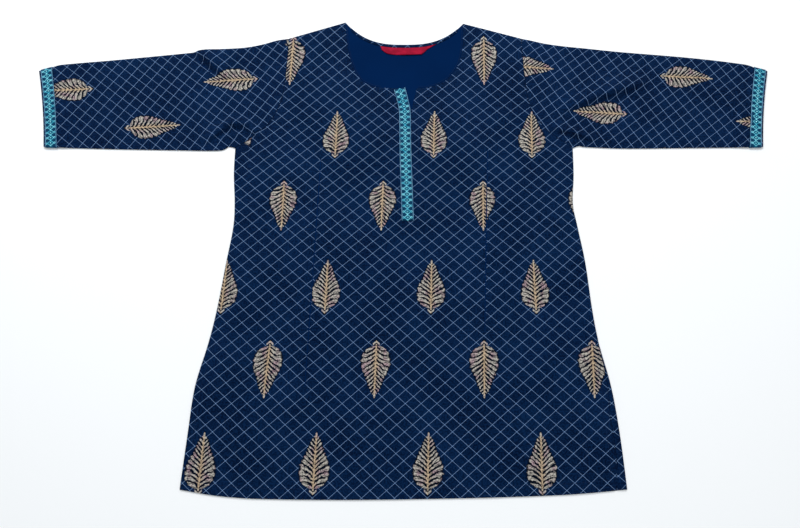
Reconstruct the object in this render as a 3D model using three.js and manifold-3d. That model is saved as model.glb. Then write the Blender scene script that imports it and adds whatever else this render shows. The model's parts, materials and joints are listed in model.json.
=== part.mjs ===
// A kurta tunic laid flat on a table with its front up.
//
// Two body panels lie on each other, a flattened sleeve lies at each side, and the trims and the
// small turned strips that show lie on them. "right" and "left" are the wearer's: the wearer's
// right side is at -X. +Y runs to the neck, +Z is up, and the table is z = 0. Millimetres.
import * as THREE from "three";
import { mergeVertices } from "three/addons/utils/BufferGeometryUtils.js";
import Module from "manifold-3d";

const wasm = await Module();
wasm.setup();

// ---- driving dimensions -------------------------------------------------------------------

const WALL = 1.0; // thickness of one layer of cloth
const GAP = 0.3; // clear space between pieces that touch
const FACET = 30; // pitch of the facets that carry the soft folds
const LAYER = WALL + GAP; // one layer and the space over it

const NECK = { right: -97, left: 101, rightTop: 377, leftTop: 374.5, backLow: 333.5, roundness: 2.8 };
const SLIT = { top: 251, rightTop: 4.5, leftTop: 22, tip: 207, tipX: 12.5 };

// Height of the hem across the garment: it hangs a little lower right of the middle.
const HEM = [
  { x: -304, y: -364 },
  { x: -262, y: -370.9 },
  { x: -228, y: -374.2 },
  { x: -190, y: -376 },
  { x: -110, y: -377 },
  { x: -35, y: -376.8 },
  { x: 70, y: -375.2 },
  { x: 160, y: -372.9 },
  { x: 230, y: -370 },
  { x: 303, y: -364 },
];

// Half outline of the body, a row for each height: the x of the side seam on either side.
const SIDE_SEAM = [
  { y: -364, right: -304, left: 303 },
  { y: -290, right: -300, left: 300 },
  { y: -226, right: -295.5, left: 294 },
  { y: -165, right: -282, left: 282 },
  { y: -116, right: -273.8, left: 276.5 },
  { y: -46, right: -266, left: 272.5 },
  { y: 10, right: -259.5, left: 265.5 },
  { y: 50, right: -260, left: 261 },
  { y: 100, right: -265, left: 266 },
  { y: 144, right: -266, left: 268 },
];

// Armhole seam from the underarm up to the shoulder.
const ARMHOLE = [
  { y: 144, right: -266, left: 268 },
  { y: 163, right: -240, left: 244 },
  { y: 182, right: -220, left: 224 },
  { y: 205, right: -206, left: 210 },
  { y: 230, right: -198, left: 203 },
  { y: 265, right: -193.5, left: 199.5 },
  { y: 305, right: -191.5, left: 198 },
  { y: 345, right: -191, left: 198 },
];

// Front neckline from the shoulder to the slit: how far out each side is at each height.
const FRONT_NECK = [
  { y: 333, right: -93, left: 99 },
  { y: 298, right: -85, left: 92 },
  { y: 270, right: -72, left: 74 },
  { y: 258, right: -57, left: 56 },
  { y: 252.5, right: -38, left: 40 },
];

// Height of each sleeve's upper fold and of its under seam, a row for each distance out.
const SLEEVE_TOP = [
  { out: 212, right: 341.5, left: 342 },
  { out: 235, right: 334, left: 336 },
  { out: 264, right: 328, left: 331 },
  { out: 306, right: 324.5, left: 326 },
  { out: 361, right: 317, left: 319.5 },
  { out: 478, right: 304, left: 308 },
  { out: 556, right: 296, left: 297 },
  { out: 580, right: 289, left: 288.5 },
  { out: 598.3, right: 283, left: 283 },
];
const SLEEVE_UNDER = [
  { out: 279, right: 146.5, left: 148 },
  { out: 291, right: 140, left: 146 },
  { out: 354, right: 140.5, left: 143.5 },
  { out: 460, right: 142.5, left: 144.5 },
  { out: 568.8, right: 145.5, left: 145.5 },
];

// The open side vent: how far the front's turned edge lies inside the back's edge.
const VENT = [
  { y: -164, inset: 0.5 },
  { y: -225, inset: 5 },
  { y: -266, inset: 10 },
  { y: -327, inset: 9.5 },
  { y: -364, inset: 15 },
];

// Soft folds of the upper layer: a ridge from one end to the other.
const FOLDS = [
  { name: "right sleeve, across the upper arm", x0: -345, y0: 312, x1: -258, y1: 238, width: 22, height: 2.6 },
  { name: "right underarm, towards the sleeve", x0: -262, y0: 168, x1: -312, y1: 182, width: 20, height: 2.4 },
  { name: "right underarm, towards the chest", x0: -246, y0: 160, x1: -214, y1: 108, width: 22, height: 1.8 },
  { name: "left sleeve, long and low", x0: 262, y0: 212, x1: 400, y1: 252, width: 24, height: 2.2 },
  { name: "left sleeve, by the cuff", x0: 470, y0: 276, x1: 528, y1: 226, width: 24, height: 1.8 },
  { name: "left underarm, towards the sleeve", x0: 248, y0: 176, x1: 312, y1: 166, width: 20, height: 2.2 },
  { name: "left shoulder, at the seam", x0: 214, y0: 318, x1: 244, y1: 280, width: 20, height: 1.6 },
  { name: "right side of the skirt", x0: -232, y0: -330, x1: -205, y1: -210, width: 30, height: 1.4 },
  { name: "left side of the skirt", x0: 168, y0: -340, x1: 150, y1: -230, width: 30, height: 1.2 },
];

// Fisheye darts of the front: the fine groove along each stitched fold.
const DARTS = [
  { topX: -130, topY: 124, lowX: -140, lowY: -224 },
  { topX: 133, topY: 142, lowX: 118, lowY: -146 },
];
const DART_GROOVE = { width: 2.4, depth: 0.5 };

// Woven trim down the placket: its middle at each height.
const PLACKET_TRIM = { width: 18.5 };
const PLACKET_PATH = [
  { y: 249.5, x: -6 },
  { y: 228, x: -1 },
  { y: 205, x: 2.5 },
  { y: 142, x: 3.2 },
  { y: 85, x: 4.8 },
  { y: 22, x: 6.6 },
];

const CUFF = { edge: 3, trim: 18.5, bow: 2.4, lift: LAYER, liftOver: 34 }; // trim, inward bow, and rise to the trim
const BINDING = { width: 6 }; // turned edge of the back neck
const LABEL = { right: -38, left: 42, tailLeft: 55, height: 14, slant: 11 };

const COLOURS = {
  print: { color: 0x04193f, roughness: 0.82 },
  wrongSide: { color: 0x051d46, roughness: 0.86 },
  trim: { color: 0x2396a8, roughness: 0.55 },
  label: { color: 0xc4173c, roughness: 0.6 },
};

// ---- outlines -----------------------------------------------------------------------------

const SIDES = { right: -1, left: 1 };

/** Smooth line through points, as a list of Vector2. */
function smooth(points, spans = 2) {
  return new THREE.SplineCurve(points).getPoints((points.length - 1) * spans);
}

/** One side's column of a table of heights, as points. */
function column(rows, side) {
  return rows.map((row) => new THREE.Vector2(row[side], row.y));
}

/** A column of a table of distances out, as points. */
function edge(rows, side) {
  return rows.map((row) => new THREE.Vector2(SIDES[side] * row.out, row[side]));
}

/** Value of one column at a height, straight between the rows. */
function valueAt(rows, y, name) {
  const sorted = [...rows].sort((a, b) => a.y - b.y);
  const above = sorted.findIndex((row) => row.y >= y);
  if (above < 0) return sorted.at(-1)[name];
  if (above === 0) return sorted[0][name];
  const low = sorted[above - 1];
  const high = sorted[above];
  return THREE.MathUtils.mapLinear(y, low.y, high.y, low[name], high[name]);
}

/** The line moved to its left by a distance. */
function offset(line, distance) {
  return line.map((point, i) => {
    const along = line[Math.min(i + 1, line.length - 1)].clone().sub(line[Math.max(i - 1, 0)]).normalize();
    return new THREE.Vector2(point.x - along.y * distance, point.y + along.x * distance);
  });
}

const sideSeam = (side) => smooth(column(SIDE_SEAM, side));
const armhole = (side) => smooth(column(ARMHOLE, side));
const neckPoint = (side) => new THREE.Vector2(NECK[side], NECK[side + "Top"]);

/** Hem from the wearer's right to the left. */
function hem() {
  return smooth(HEM.map((row) => new THREE.Vector2(row.x, row.y)));
}

/** Back neckline from the wearer's left to the right, lowest in the middle. */
function backNeck(lower = 0, steps = 16) {
  const middle = (NECK.left + NECK.right) / 2;
  const half = (NECK.left - NECK.right) / 2;
  return Array.from({ length: steps + 1 }, (_, i) => {
    const x = THREE.MathUtils.lerp(NECK.left, NECK.right, i / steps);
    const top = THREE.MathUtils.lerp(NECK.leftTop, NECK.rightTop, i / steps);
    return new THREE.Vector2(x, NECK.backLow + (top - NECK.backLow) * Math.abs((x - middle) / half) ** NECK.roundness - lower);
  });
}

/** Front neckline from the wearer's left shoulder round and down the slit to the right one. */
function frontNeck() {
  const left = smooth([neckPoint("left"), ...column(FRONT_NECK, "left"), new THREE.Vector2(SLIT.leftTop, SLIT.top)]);
  const right = smooth([neckPoint("right"), ...column(FRONT_NECK, "right"), new THREE.Vector2(SLIT.rightTop, SLIT.top)]);
  return [...left, new THREE.Vector2(SLIT.tipX, SLIT.tip), ...right.reverse()];
}

/** The body's edge from the hem up the left side, over the neckline and down the right side. */
function bodyOutline(neckline, leftEdge = sideSeam("left")) {
  return [
    ...hem().slice(1, -1),
    ...leftEdge,
    ...armhole("left").slice(1),
    ...neckline,
    ...armhole("right").slice(1).reverse(),
    ...sideSeam("right").reverse(),
  ];
}

/** The front's left edge, drawn in from the back's along the open vent. */
function ventedEdge(extra = 0) {
  const top = VENT[0].y;
  return sideSeam("left").map((point) => {
    const inset = point.y < top ? valueAt(VENT, point.y, "inset") : 0;
    return new THREE.Vector2(point.x - inset + extra, point.y);
  });
}

// ---- surfaces -----------------------------------------------------------------------------

/** How far the soft folds lift the upper layer at a point. */
function lift(x, y) {
  return FOLDS.reduce((sum, fold) => {
    const run = new THREE.Vector2(fold.x1 - fold.x0, fold.y1 - fold.y0);
    const away = new THREE.Vector2(x - fold.x0, y - fold.y0);
    const along = THREE.MathUtils.clamp(away.dot(run) / run.lengthSq(), 0, 1);
    const distance = away.sub(run.multiplyScalar(along)).length();
    return sum + fold.height * Math.exp(-((distance / fold.width) ** 2));
  }, 0);
}

const upperSide = (x, y) => LAYER + WALL + lift(x, y);
const underOf = (surface) => (x, y) => surface(x, y) - WALL;
const over = (surface, distance) => (x, y) => surface(x, y) + distance;
const level = (z) => () => z;

// ---- solids -------------------------------------------------------------------------------

/** A closed geometry as a manifold solid. */
function toSolid(geometry) {
  const bare = geometry.clone();
  bare.deleteAttribute("normal");
  bare.deleteAttribute("uv");
  const merged = mergeVertices(bare, 1e-4);
  return new wasm.Manifold(
    new wasm.Mesh({
      numProp: 3,
      vertProperties: merged.attributes.position.array,
      triVerts: new Uint32Array(merged.index.array),
    }),
  );
}

/** A manifold solid as a geometry. */
function toGeometry(solid) {
  const { vertProperties, triVerts } = solid.getMesh();
  const geometry = new THREE.BufferGeometry();
  geometry.setAttribute("position", new THREE.BufferAttribute(new Float32Array(vertProperties), 3));
  geometry.setIndex(new THREE.BufferAttribute(new Uint32Array(triVerts), 1));
  return geometry;
}

/** Geometry of indexed quads and triangles given as lists of points. */
function facets(faces) {
  const positions = [];
  for (const face of faces) {
    for (let i = 1; i < face.length - 1; i += 1) {
      for (const point of [face[0], face[i], face[i + 1]]) positions.push(point.x, point.y, point.z);
    }
  }
  const geometry = new THREE.BufferGeometry();
  geometry.setAttribute("position", new THREE.Float32BufferAttribute(positions, 3));
  return mergeVertices(geometry, 1e-4);
}

/** An upright prism on an outline. */
function prism(outline, bottom, top) {
  const geometry = new THREE.ExtrudeGeometry(new THREE.Shape(outline), { depth: top - bottom, bevelEnabled: false });
  return geometry.translate(0, 0, bottom);
}

/** A sheet between two surfaces on a grid whose lines every sheet shares, so that sheets nest. */
function sheetSolid(outline, bottom, top) {
  const box = new THREE.Box2().setFromPoints(outline);
  const lines = (low, high) => {
    const first = Math.floor(low / FACET) - 1;
    const last = Math.ceil(high / FACET) + 1;
    return Array.from({ length: last - first + 1 }, (_, i) => (first + i) * FACET);
  };
  const xs = lines(box.min.x, box.max.x);
  const ys = lines(box.min.y, box.max.y);
  const at = (surface, i, j) => new THREE.Vector3(xs[i], ys[j], surface(xs[i], ys[j]));
  const faces = [];
  for (let i = 0; i < xs.length - 1; i += 1) {
    for (let j = 0; j < ys.length - 1; j += 1) {
      faces.push([at(top, i, j), at(top, i + 1, j), at(top, i + 1, j + 1), at(top, i, j + 1)]);
      const under = [at(bottom, i, j), at(bottom, i + 1, j), at(bottom, i + 1, j + 1), at(bottom, i, j + 1)];
      faces.push([under[0], under[2], under[1]], [under[0], under[3], under[2]]);
    }
  }
  const wall = (i0, j0, i1, j1) =>
    faces.push([at(bottom, i0, j0), at(bottom, i1, j1), at(top, i1, j1), at(top, i0, j0)]);
  for (let i = 0; i < xs.length - 1; i += 1) {
    wall(i, 0, i + 1, 0);
    wall(i + 1, ys.length - 1, i, ys.length - 1);
  }
  for (let j = 0; j < ys.length - 1; j += 1) {
    wall(0, j + 1, 0, j);
    wall(xs.length - 1, j, xs.length - 1, j + 1);
  }
  const tall = 40;
  return toSolid(facets(faces)).intersect(toSolid(prism(outline, -tall, tall)));
}

/** A tube's wall between outer and inner rings, open at both ends. */
function tubeWall(outer, inner) {
  const faces = [];
  const count = outer[0].length;
  for (let k = 0; k < count; k += 1) {
    const next = (k + 1) % count;
    for (let i = 0; i < outer.length - 1; i += 1) {
      faces.push([outer[i][k], outer[i + 1][k], outer[i + 1][next], outer[i][next]]);
      faces.push([inner[i][next], inner[i + 1][next], inner[i + 1][k], inner[i][k]]);
    }
    const end = outer.length - 1;
    faces.push([outer[0][next], inner[0][next], inner[0][k], outer[0][k]]);
    faces.push([outer[end][k], inner[end][k], inner[end][next], outer[end][next]]);
  }
  return facets(faces);
}

// ---- sleeves ------------------------------------------------------------------------------

const ACROSS = 9; // facets across a sleeve
const STATIONS = [0, 0.07, 0.16, 0.27, 0.4, 0.54, 0.68, 0.8]; // shares of the way to the cuff zone

/** Point at a distance from the end of a line. */
function fromEnd(line, distance) {
  const curve = new THREE.CurvePath();
  line.slice(1).forEach((point, i) => curve.add(new THREE.LineCurve(line[i], point)));
  const length = curve.getLength();
  return { length, point: curve.getPointAt(THREE.MathUtils.clamp(1 - distance / length, 0, 1)) };
}

/** The flat patch of one sleeve: its point at a share across and a station along. */
class SleevePatch {
  constructor(side) {
    const seam = armhole(side);
    this.sign = SIDES[side];
    this.seam = offset(seam, side === "left" ? -GAP : GAP).reverse();
    this.top = smooth([this.seam[0], ...edge(SLEEVE_TOP, side)]);
    this.under = smooth([this.seam.at(-1), ...edge(SLEEVE_UNDER, side)]);
    const zone = CUFF.liftOver + CUFF.edge + CUFF.trim;
    const cuffLines = [zone, zone * 0.7, CUFF.edge + CUFF.trim + 2, CUFF.edge + CUFF.trim, CUFF.edge, 0];
    this.stations = [
      ...STATIONS.map((share) => ({ share, fromCuff: null })),
      ...cuffLines.map((fromCuff) => ({ share: 1, fromCuff })),
    ];
    this.zone = zone;
  }

  /** Point of a long edge at a station. */
  edgePoint(line, station) {
    const { length } = fromEnd(line, 0);
    const distance = station.fromCuff ?? this.zone + (1 - station.share) * (length - this.zone);
    return fromEnd(line, distance).point;
  }

  /** Point at a share across, 0 at the upper fold, and at a station. */
  at(across, station) {
    const top = this.edgePoint(this.top, station);
    const under = this.edgePoint(this.under, station);
    const point = top.clone().lerp(under, across);
    const count = this.seam.length - 1;
    const place = across * count;
    const k = THREE.MathUtils.clamp(Math.floor(place), 0, count - 1);
    const onSeam = this.seam[k].clone().lerp(this.seam[k + 1], place - k);
    const chord = this.seam[0].clone().lerp(this.seam[count], across);
    if (station.fromCuff === null) return point.add(onSeam.sub(chord).multiplyScalar(1 - station.share));
    const bow = CUFF.bow * Math.sqrt(1 - Math.min(station.fromCuff / this.zone, 1));
    point.x -= this.sign * bow * 4 * across * (1 - across);
    return point;
  }

  /** How far the lower layer stands off the table at a station, to leave room for the trim. */
  raise(station) {
    if (station.fromCuff === null) return 0;
    const start = CUFF.edge + CUFF.trim + 2;
    return CUFF.lift * (1 - THREE.MathUtils.smoothstep(station.fromCuff, start, this.zone));
  }

  /**
   * A ring round the flattened sleeve. `grow` moves it out from the cloth's outer face, or in
   * where it is below zero, and the hollow's ring is the outer one moved in by the wall.
   */
  ring(station, grow) {
    const width = this.at(0, station).distanceTo(this.at(1, station));
    const raise = this.raise(station);
    const tip = -grow / width;
    const shoulder = (WALL - grow) / width;
    const shares = Array.from({ length: ACROSS + 1 }, (_, i) =>
      THREE.MathUtils.lerp(shoulder, 1 - shoulder, i / ACROSS),
    );
    const half = (LAYER + WALL) / 2;
    const upper = shares.map((share) => {
      const point = this.at(share, station);
      return new THREE.Vector3(point.x, point.y, raise + LAYER + WALL + lift(point.x, point.y) + grow);
    });
    const lower = shares.map((share) => {
      const point = this.at(share, station);
      return new THREE.Vector3(point.x, point.y, raise - grow);
    });
    const tipPoint = (share) => {
      const point = this.at(share, station);
      return new THREE.Vector3(point.x, point.y, raise + half);
    };
    return [tipPoint(tip), ...upper, tipPoint(1 - tip), ...lower.reverse()];
  }
}

/** Rings of one side run the other way round, so that faces point outwards. */
function facingOut(side, rings) {
  return side === "left" ? rings.map((ring) => [...ring].reverse()) : rings;
}

/** The sleeve as a flattened tube, open at the armhole and at the cuff. */
function sleeve(side) {
  const patch = new SleevePatch(side);
  const outer = patch.stations.map((station) => patch.ring(station, 0));
  const inner = patch.stations.map((station) => patch.ring(station, -WALL));
  return tubeWall(facingOut(side, outer), facingOut(side, inner));
}

/** The woven trim round a cuff, just outside the sleeve. */
function cuffTrim(side) {
  const patch = new SleevePatch(side);
  const band = patch.stations.filter(
    ({ fromCuff }) => fromCuff !== null && fromCuff >= CUFF.edge && fromCuff <= CUFF.edge + CUFF.trim,
  );
  const inner = band.map((station) => patch.ring(station, GAP));
  const outer = band.map((station) => patch.ring(station, GAP + WALL));
  return tubeWall(facingOut(side, outer), facingOut(side, inner));
}

// ---- body panels and what lies on them ----------------------------------------------------

/** The back, flat on the table. */
function backPanel() {
  return prism(bodyOutline(backNeck()), 0, WALL);
}

/** The groove of one dart: a long lens, deepest on the stitched line. */
function dartGroove({ topX, topY, lowX, lowY }) {
  const middle = new THREE.Vector2((topX + lowX) / 2, (topY + lowY) / 2);
  const half = DART_GROOVE.width / 2;
  const lens = [
    new THREE.Vector2(topX, topY),
    new THREE.Vector2(middle.x - half, middle.y),
    new THREE.Vector2(lowX, lowY),
    new THREE.Vector2(middle.x + half, middle.y),
  ];
  return toSolid(prism(lens, upperSide(middle.x, middle.y) - DART_GROOVE.depth, upperSide(middle.x, middle.y) + 2));
}

/** The front, one piece with its slit, over the back. */
function frontPanel() {
  const outline = bodyOutline(frontNeck(), ventedEdge());
  const cloth = sheetSolid(outline, underOf(upperSide), upperSide);
  return toGeometry(DARTS.reduce((solid, dart) => solid.subtract(dartGroove(dart)), cloth));
}

/** The trim down the placket, on the front. */
function placketTrim() {
  const middle = smooth(PLACKET_PATH.map(({ x, y }) => new THREE.Vector2(x, y)));
  const half = PLACKET_TRIM.width / 2;
  const outline = [...offset(middle, half), ...offset(middle, -half).reverse()];
  return toGeometry(sheetSolid(outline, over(upperSide, GAP), over(upperSide, GAP + WALL)));
}

/** The back's own turned hem, in sight beside the front along the open vent. */
function ventHem() {
  const along = (point) => point.y < VENT[0].y - 6;
  const outer = sideSeam("left").filter(along);
  const inner = ventedEdge(GAP).filter(along);
  const foot = new THREE.Vector2(inner[0].x, outer[0].y);
  return prism([foot, ...outer, ...inner.slice(1).reverse()], LAYER, LAYER + WALL);
}

/** The turned edge along the back neck, on the back's inner side. */
function neckBinding() {
  const clear = 3;
  const inside = (point) => point.x > NECK.right + clear + BINDING.width && point.x < NECK.left - clear - BINDING.width;
  const upper = backNeck(0, 28).filter(inside);
  const lower = backNeck(BINDING.width, 28).filter(inside);
  return prism([...upper, ...lower.reverse()], LAYER, LAYER + WALL);
}

/** The plain label that hangs from the back neck's turned edge. */
function neckLabel() {
  const steps = 40;
  const upper = backNeck(BINDING.width + GAP, steps).filter((point) => point.x > LABEL.right && point.x < LABEL.tailLeft);
  const low = NECK.backLow - BINDING.width - LABEL.height;
  const lower = [
    new THREE.Vector2(LABEL.right + LABEL.slant, low + 2),
    new THREE.Vector2((LABEL.right + LABEL.left) / 2, low),
    new THREE.Vector2(LABEL.left - LABEL.slant, low + 1),
    new THREE.Vector2(LABEL.left, low + LABEL.height - 2),
  ];
  return prism([...upper, ...lower], LAYER, LAYER + WALL);
}

// ---- the garment --------------------------------------------------------------------------

/** One named piece of the garment. */
function piece(name, geometry, finish) {
  const mesh = new THREE.Mesh(geometry, new THREE.MeshStandardMaterial({ ...finish, metalness: 0 }));
  mesh.name = name;
  return mesh;
}

const kurta = new THREE.Group();
kurta.add(piece("back_panel", backPanel(), COLOURS.wrongSide));
kurta.add(piece("front_panel", frontPanel(), COLOURS.print));
for (const side of Object.keys(SIDES)) {
  kurta.add(piece(`sleeve_${side}`, sleeve(side), COLOURS.print));
  kurta.add(piece(`cuff_trim_${side}`, cuffTrim(side), COLOURS.trim));
}
kurta.add(piece("placket_trim", placketTrim(), COLOURS.trim));
kurta.add(piece("back_vent_hem_left", ventHem(), COLOURS.print));
kurta.add(piece("back_neck_binding", neckBinding(), COLOURS.print));
kurta.add(piece("neck_label", neckLabel(), COLOURS.label));

export default kurta;
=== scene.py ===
"""A short printed kurta tunic laid flat with its front up: cloth, print, trims, label and stitching.

"Right" and "left" are the wearer's, so the wearer's right is at -X. Sizes in the tables are
millimetres, and every mesh is made in metres.
"""
import json
import logging
import math
from collections.abc import Sequence
from dataclasses import dataclass, field
from enum import Enum
from typing import Any

import bmesh
import bpy
import numpy as np
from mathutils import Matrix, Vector
from mathutils.geometry import delaunay_2d_cdt

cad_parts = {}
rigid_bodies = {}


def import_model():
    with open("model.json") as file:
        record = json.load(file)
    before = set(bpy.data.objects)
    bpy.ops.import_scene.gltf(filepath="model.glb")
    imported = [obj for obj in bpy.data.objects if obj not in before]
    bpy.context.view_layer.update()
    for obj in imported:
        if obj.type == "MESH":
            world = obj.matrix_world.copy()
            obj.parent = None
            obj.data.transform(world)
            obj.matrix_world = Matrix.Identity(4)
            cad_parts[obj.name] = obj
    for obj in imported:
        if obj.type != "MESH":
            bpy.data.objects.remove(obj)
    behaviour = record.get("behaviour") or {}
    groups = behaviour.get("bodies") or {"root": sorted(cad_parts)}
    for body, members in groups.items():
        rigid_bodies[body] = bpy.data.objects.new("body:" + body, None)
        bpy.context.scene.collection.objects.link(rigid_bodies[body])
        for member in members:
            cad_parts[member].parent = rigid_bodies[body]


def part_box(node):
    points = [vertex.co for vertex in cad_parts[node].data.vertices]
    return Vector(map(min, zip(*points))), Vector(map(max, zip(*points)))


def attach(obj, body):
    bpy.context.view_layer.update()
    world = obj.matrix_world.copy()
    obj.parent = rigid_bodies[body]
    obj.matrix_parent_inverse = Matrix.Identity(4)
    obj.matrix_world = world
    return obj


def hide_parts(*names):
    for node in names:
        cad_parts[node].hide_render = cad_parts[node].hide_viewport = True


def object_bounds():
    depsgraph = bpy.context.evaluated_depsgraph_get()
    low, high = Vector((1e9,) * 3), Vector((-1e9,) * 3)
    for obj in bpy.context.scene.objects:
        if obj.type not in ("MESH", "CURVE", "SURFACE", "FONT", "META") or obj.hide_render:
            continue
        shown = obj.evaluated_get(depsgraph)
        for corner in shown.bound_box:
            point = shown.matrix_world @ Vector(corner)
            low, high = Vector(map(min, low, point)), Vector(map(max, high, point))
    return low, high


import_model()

LOG = logging.getLogger("kurta")
MM = 0.001
ROOT = "root"
UV_NAME = "cloth"
PLAIN_NAME = "plain"
CAD_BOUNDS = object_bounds()
GAP = 0.3  # clear space between pieces that touch
FIGURE_PITCH = 9.5  # from one woven figure to the next
FIGURE_CLEAR = 4.8  # the least ribbon beyond the last figure

Array = np.ndarray
Point = tuple[float, float]
Place = tuple[float, float, float]
Faces = list[tuple[int, ...]]
Colour = tuple[float, float, float, float]


class Side(Enum):
    """A side of the garment, the wearer's, with the sign of its X."""

    RIGHT = -1
    LEFT = 1

    @property
    def label(self) -> str:
        """The side's name in tables and in piece names."""
        return self.name.lower()


class Face(Enum):
    """Which face of a panel carries the print."""

    UP = 0
    DOWN = 1


# ---- the cut, in millimetres ------------------------------------------------------------------


@dataclass(frozen=True)
class Row:
    """One row of a table: a place, and a measure for the wearer's right and left."""

    at: float
    right: float
    left: float

    def side(self, side: Side) -> float:
        """The measure on one side."""
        return self.right if side is Side.RIGHT else self.left


SIDE_SEAM = (
    Row(-364, -304, 303),
    Row(-290, -300, 300),
    Row(-226, -295.5, 294),
    Row(-165, -282, 282),
    Row(-116, -273.8, 276.5),
    Row(-46, -266, 272.5),
    Row(10, -259.5, 265.5),
    Row(50, -260, 261),
    Row(100, -265, 266),
    Row(144, -266, 268),
)
ARMHOLE = (
    Row(144, -266, 268),
    Row(163, -240, 244),
    Row(182, -220, 224),
    Row(205, -206, 210),
    Row(230, -198, 203),
    Row(265, -193.5, 199.5),
    Row(305, -191.5, 198),
    Row(345, -191, 198),
)
FRONT_NECK = (
    Row(333, -93, 99),
    Row(298, -85, 92),
    Row(270, -72, 74),
    Row(258, -57, 56),
    Row(252.5, -38, 40),
)
SLEEVE_TOP = (
    Row(212, 341.5, 342),
    Row(235, 334, 336),
    Row(264, 328, 331),
    Row(306, 324.5, 326),
    Row(361, 317, 319.5),
    Row(478, 304, 308),
    Row(556, 296, 297),
    Row(580, 289, 288.5),
    Row(598.3, 283, 283),
)
SLEEVE_UNDER = (
    Row(279, 146.5, 148),
    Row(291, 140, 146),
    Row(354, 140.5, 143.5),
    Row(460, 142.5, 144.5),
    Row(568.8, 145.5, 145.5),
)
HEM = (
    (-304, -364.0),
    (-262, -370.9),
    (-228, -374.2),
    (-190, -376.0),
    (-110, -377.0),
    (-35, -376.8),
    (70, -375.2),
    (160, -372.9),
    (230, -370.0),
    (303, -364.0),
)
VENT_INSET = ((-364, 15.0), (-327, 9.5), (-266, 10.0), (-225, 5.0), (-164, 0.5))


@dataclass(frozen=True)
class Fold:
    """A soft fold of the upper layer, from one end to the other: a crease where its height is negative.

    A fold that leans is steep on its right, seen from its start, and falls away slowly on its left.
    """

    start: Point
    end: Point
    width: float
    height: float
    left_width: float = 0.0

    def lift(self, xy: Array) -> Array:
        """How far the fold lifts the cloth at each point.

        Args:
            xy: Points, one a row, in millimetres.

        Returns:
            The height of the fold at each point, in millimetres.
        """
        a, b = np.array(self.start), np.array(self.end)
        run = b - a
        share = np.clip((xy - a) @ run / (run @ run), 0, 1)
        distance = np.linalg.norm(xy - a - share[:, None] * run, axis=1)
        if not self.left_width:
            fade = 0.4 + 0.6 * np.sin(np.pi * share)
            return self.height * fade * np.exp(-((distance / self.width) ** 2))
        on_left = run[0] * (xy - a)[:, 1] - run[1] * (xy - a)[:, 0] > 0
        width = np.where(on_left, self.left_width, self.width)
        fade = np.sin(np.pi * share)
        return self.height * fade * np.exp(-((distance / width) ** 2))


FOLDS = (
    Fold((-352, 331), (-284, 266), 5.0, 10.5, 22.0),
    Fold((-352, 316), (-300, 266), 4.0, -1.6),
    Fold((-318, 150), (-270, 189), 3.8, 8.0, 13.0),
    Fold((-290, 184), (-238, 184), 3.8, 7.0, 12.0),
    Fold((-258, 186), (-222, 158), 3.6, 5.6, 10.0),
    Fold((-296, 156), (-262, 169), 5.0, 2.6),
    Fold((-270, 170), (-244, 160), 4.0, 2.0),
    Fold((-246, 156), (-216, 122), 5.0, 2.6, 12.0),
    Fold((-256, 146), (-240, 100), 6.0, 1.4),
    Fold((256, 210), (350, 247), 5.0, 8.0, 20.0),
    Fold((316, 232), (406, 266), 5.5, 8.4, 22.0),
    Fold((270, 204), (380, 236), 8.0, -1.0),
    Fold((232, 180), (282, 164), 3.0, 6.0, 11.0),
    Fold((258, 172), (314, 153), 3.0, 5.6, 11.0),
    Fold((246, 162), (292, 148), 4.5, 1.6),
    Fold((252, 152), (214, 112), 12.0, 2.0, 5.0),
    Fold((470, 280), (530, 224), 12.0, 2.4),
    Fold((516, 262), (556, 190), 9.0, 2.0),
    Fold((206, 334), (240, 288), 4.5, 3.2, 13.0),
    Fold((206, 300), (214, 236), 8.0, 1.4),
    Fold((-236, -340), (-206, -205), 16.0, 2.2),
    Fold((-60, -352), (-48, -250), 20.0, 1.4),
    Fold((172, -346), (150, -226), 16.0, 2.0),
    Fold((-232, 40), (-170, -12), 18.0, 1.6),
    Fold((238, 30), (186, -30), 18.0, 1.6),
    Fold((-60, 206), (-128, 178), 14.0, 1.3),
    Fold((66, 214), (132, 170), 14.0, 1.3),
)


@dataclass(frozen=True)
class Dart:
    """A fisheye dart of the front: its ends, and the cloth that its fold takes up."""

    top: Point
    low: Point
    intake: float
    side: Side

    def line(self, steps: int = 60) -> Array:
        """Points down the stitched fold."""
        share = np.linspace(0, 1, steps + 1)[:, None]
        return np.array(self.top) * (1 - share) + np.array(self.low) * share

    def taken(self, y: Array) -> Array:
        """Cloth taken up at each height."""
        share = np.clip((y - self.low[1]) / (self.top[1] - self.low[1]), 0, 1)
        return self.intake * np.sin(np.pi * share)

    def beyond(self, xy: Array) -> Array:
        """Which points lie on the dart's outer side."""
        share = (xy[:, 1] - self.low[1]) / (self.top[1] - self.low[1])
        x = self.low[0] + share * (self.top[0] - self.low[0])
        return (xy[:, 0] - x) * self.side.value > 0


DARTS = (
    Dart((-130, 124), (-140, -224), 4.0, Side.RIGHT),
    Dart((133, 142), (118, -146), 3.5, Side.LEFT),
)


@dataclass(frozen=True)
class Ripple:
    """The cloth's slight unevenness: a few long waves from a fixed seed."""

    height: float = 0.22
    waves: int = 9
    shortest: float = 46.0
    longest: float = 170.0
    seed: int = 11

    def lift(self, xy: Array) -> Array:
        """The height of the unevenness at each point, in millimetres."""
        rng = np.random.default_rng(self.seed)
        total = np.zeros(len(xy))
        for _ in range(self.waves):
            heading = rng.uniform(0, np.pi)
            length = rng.uniform(self.shortest, self.longest)
            shift = rng.uniform(0, 2 * np.pi)
            along = xy @ np.array([math.cos(heading), math.sin(heading)])
            total += np.sin(2 * np.pi * along / length + shift) * length / self.longest
        return self.height * total / math.sqrt(self.waves)


RIPPLE = Ripple()


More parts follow.
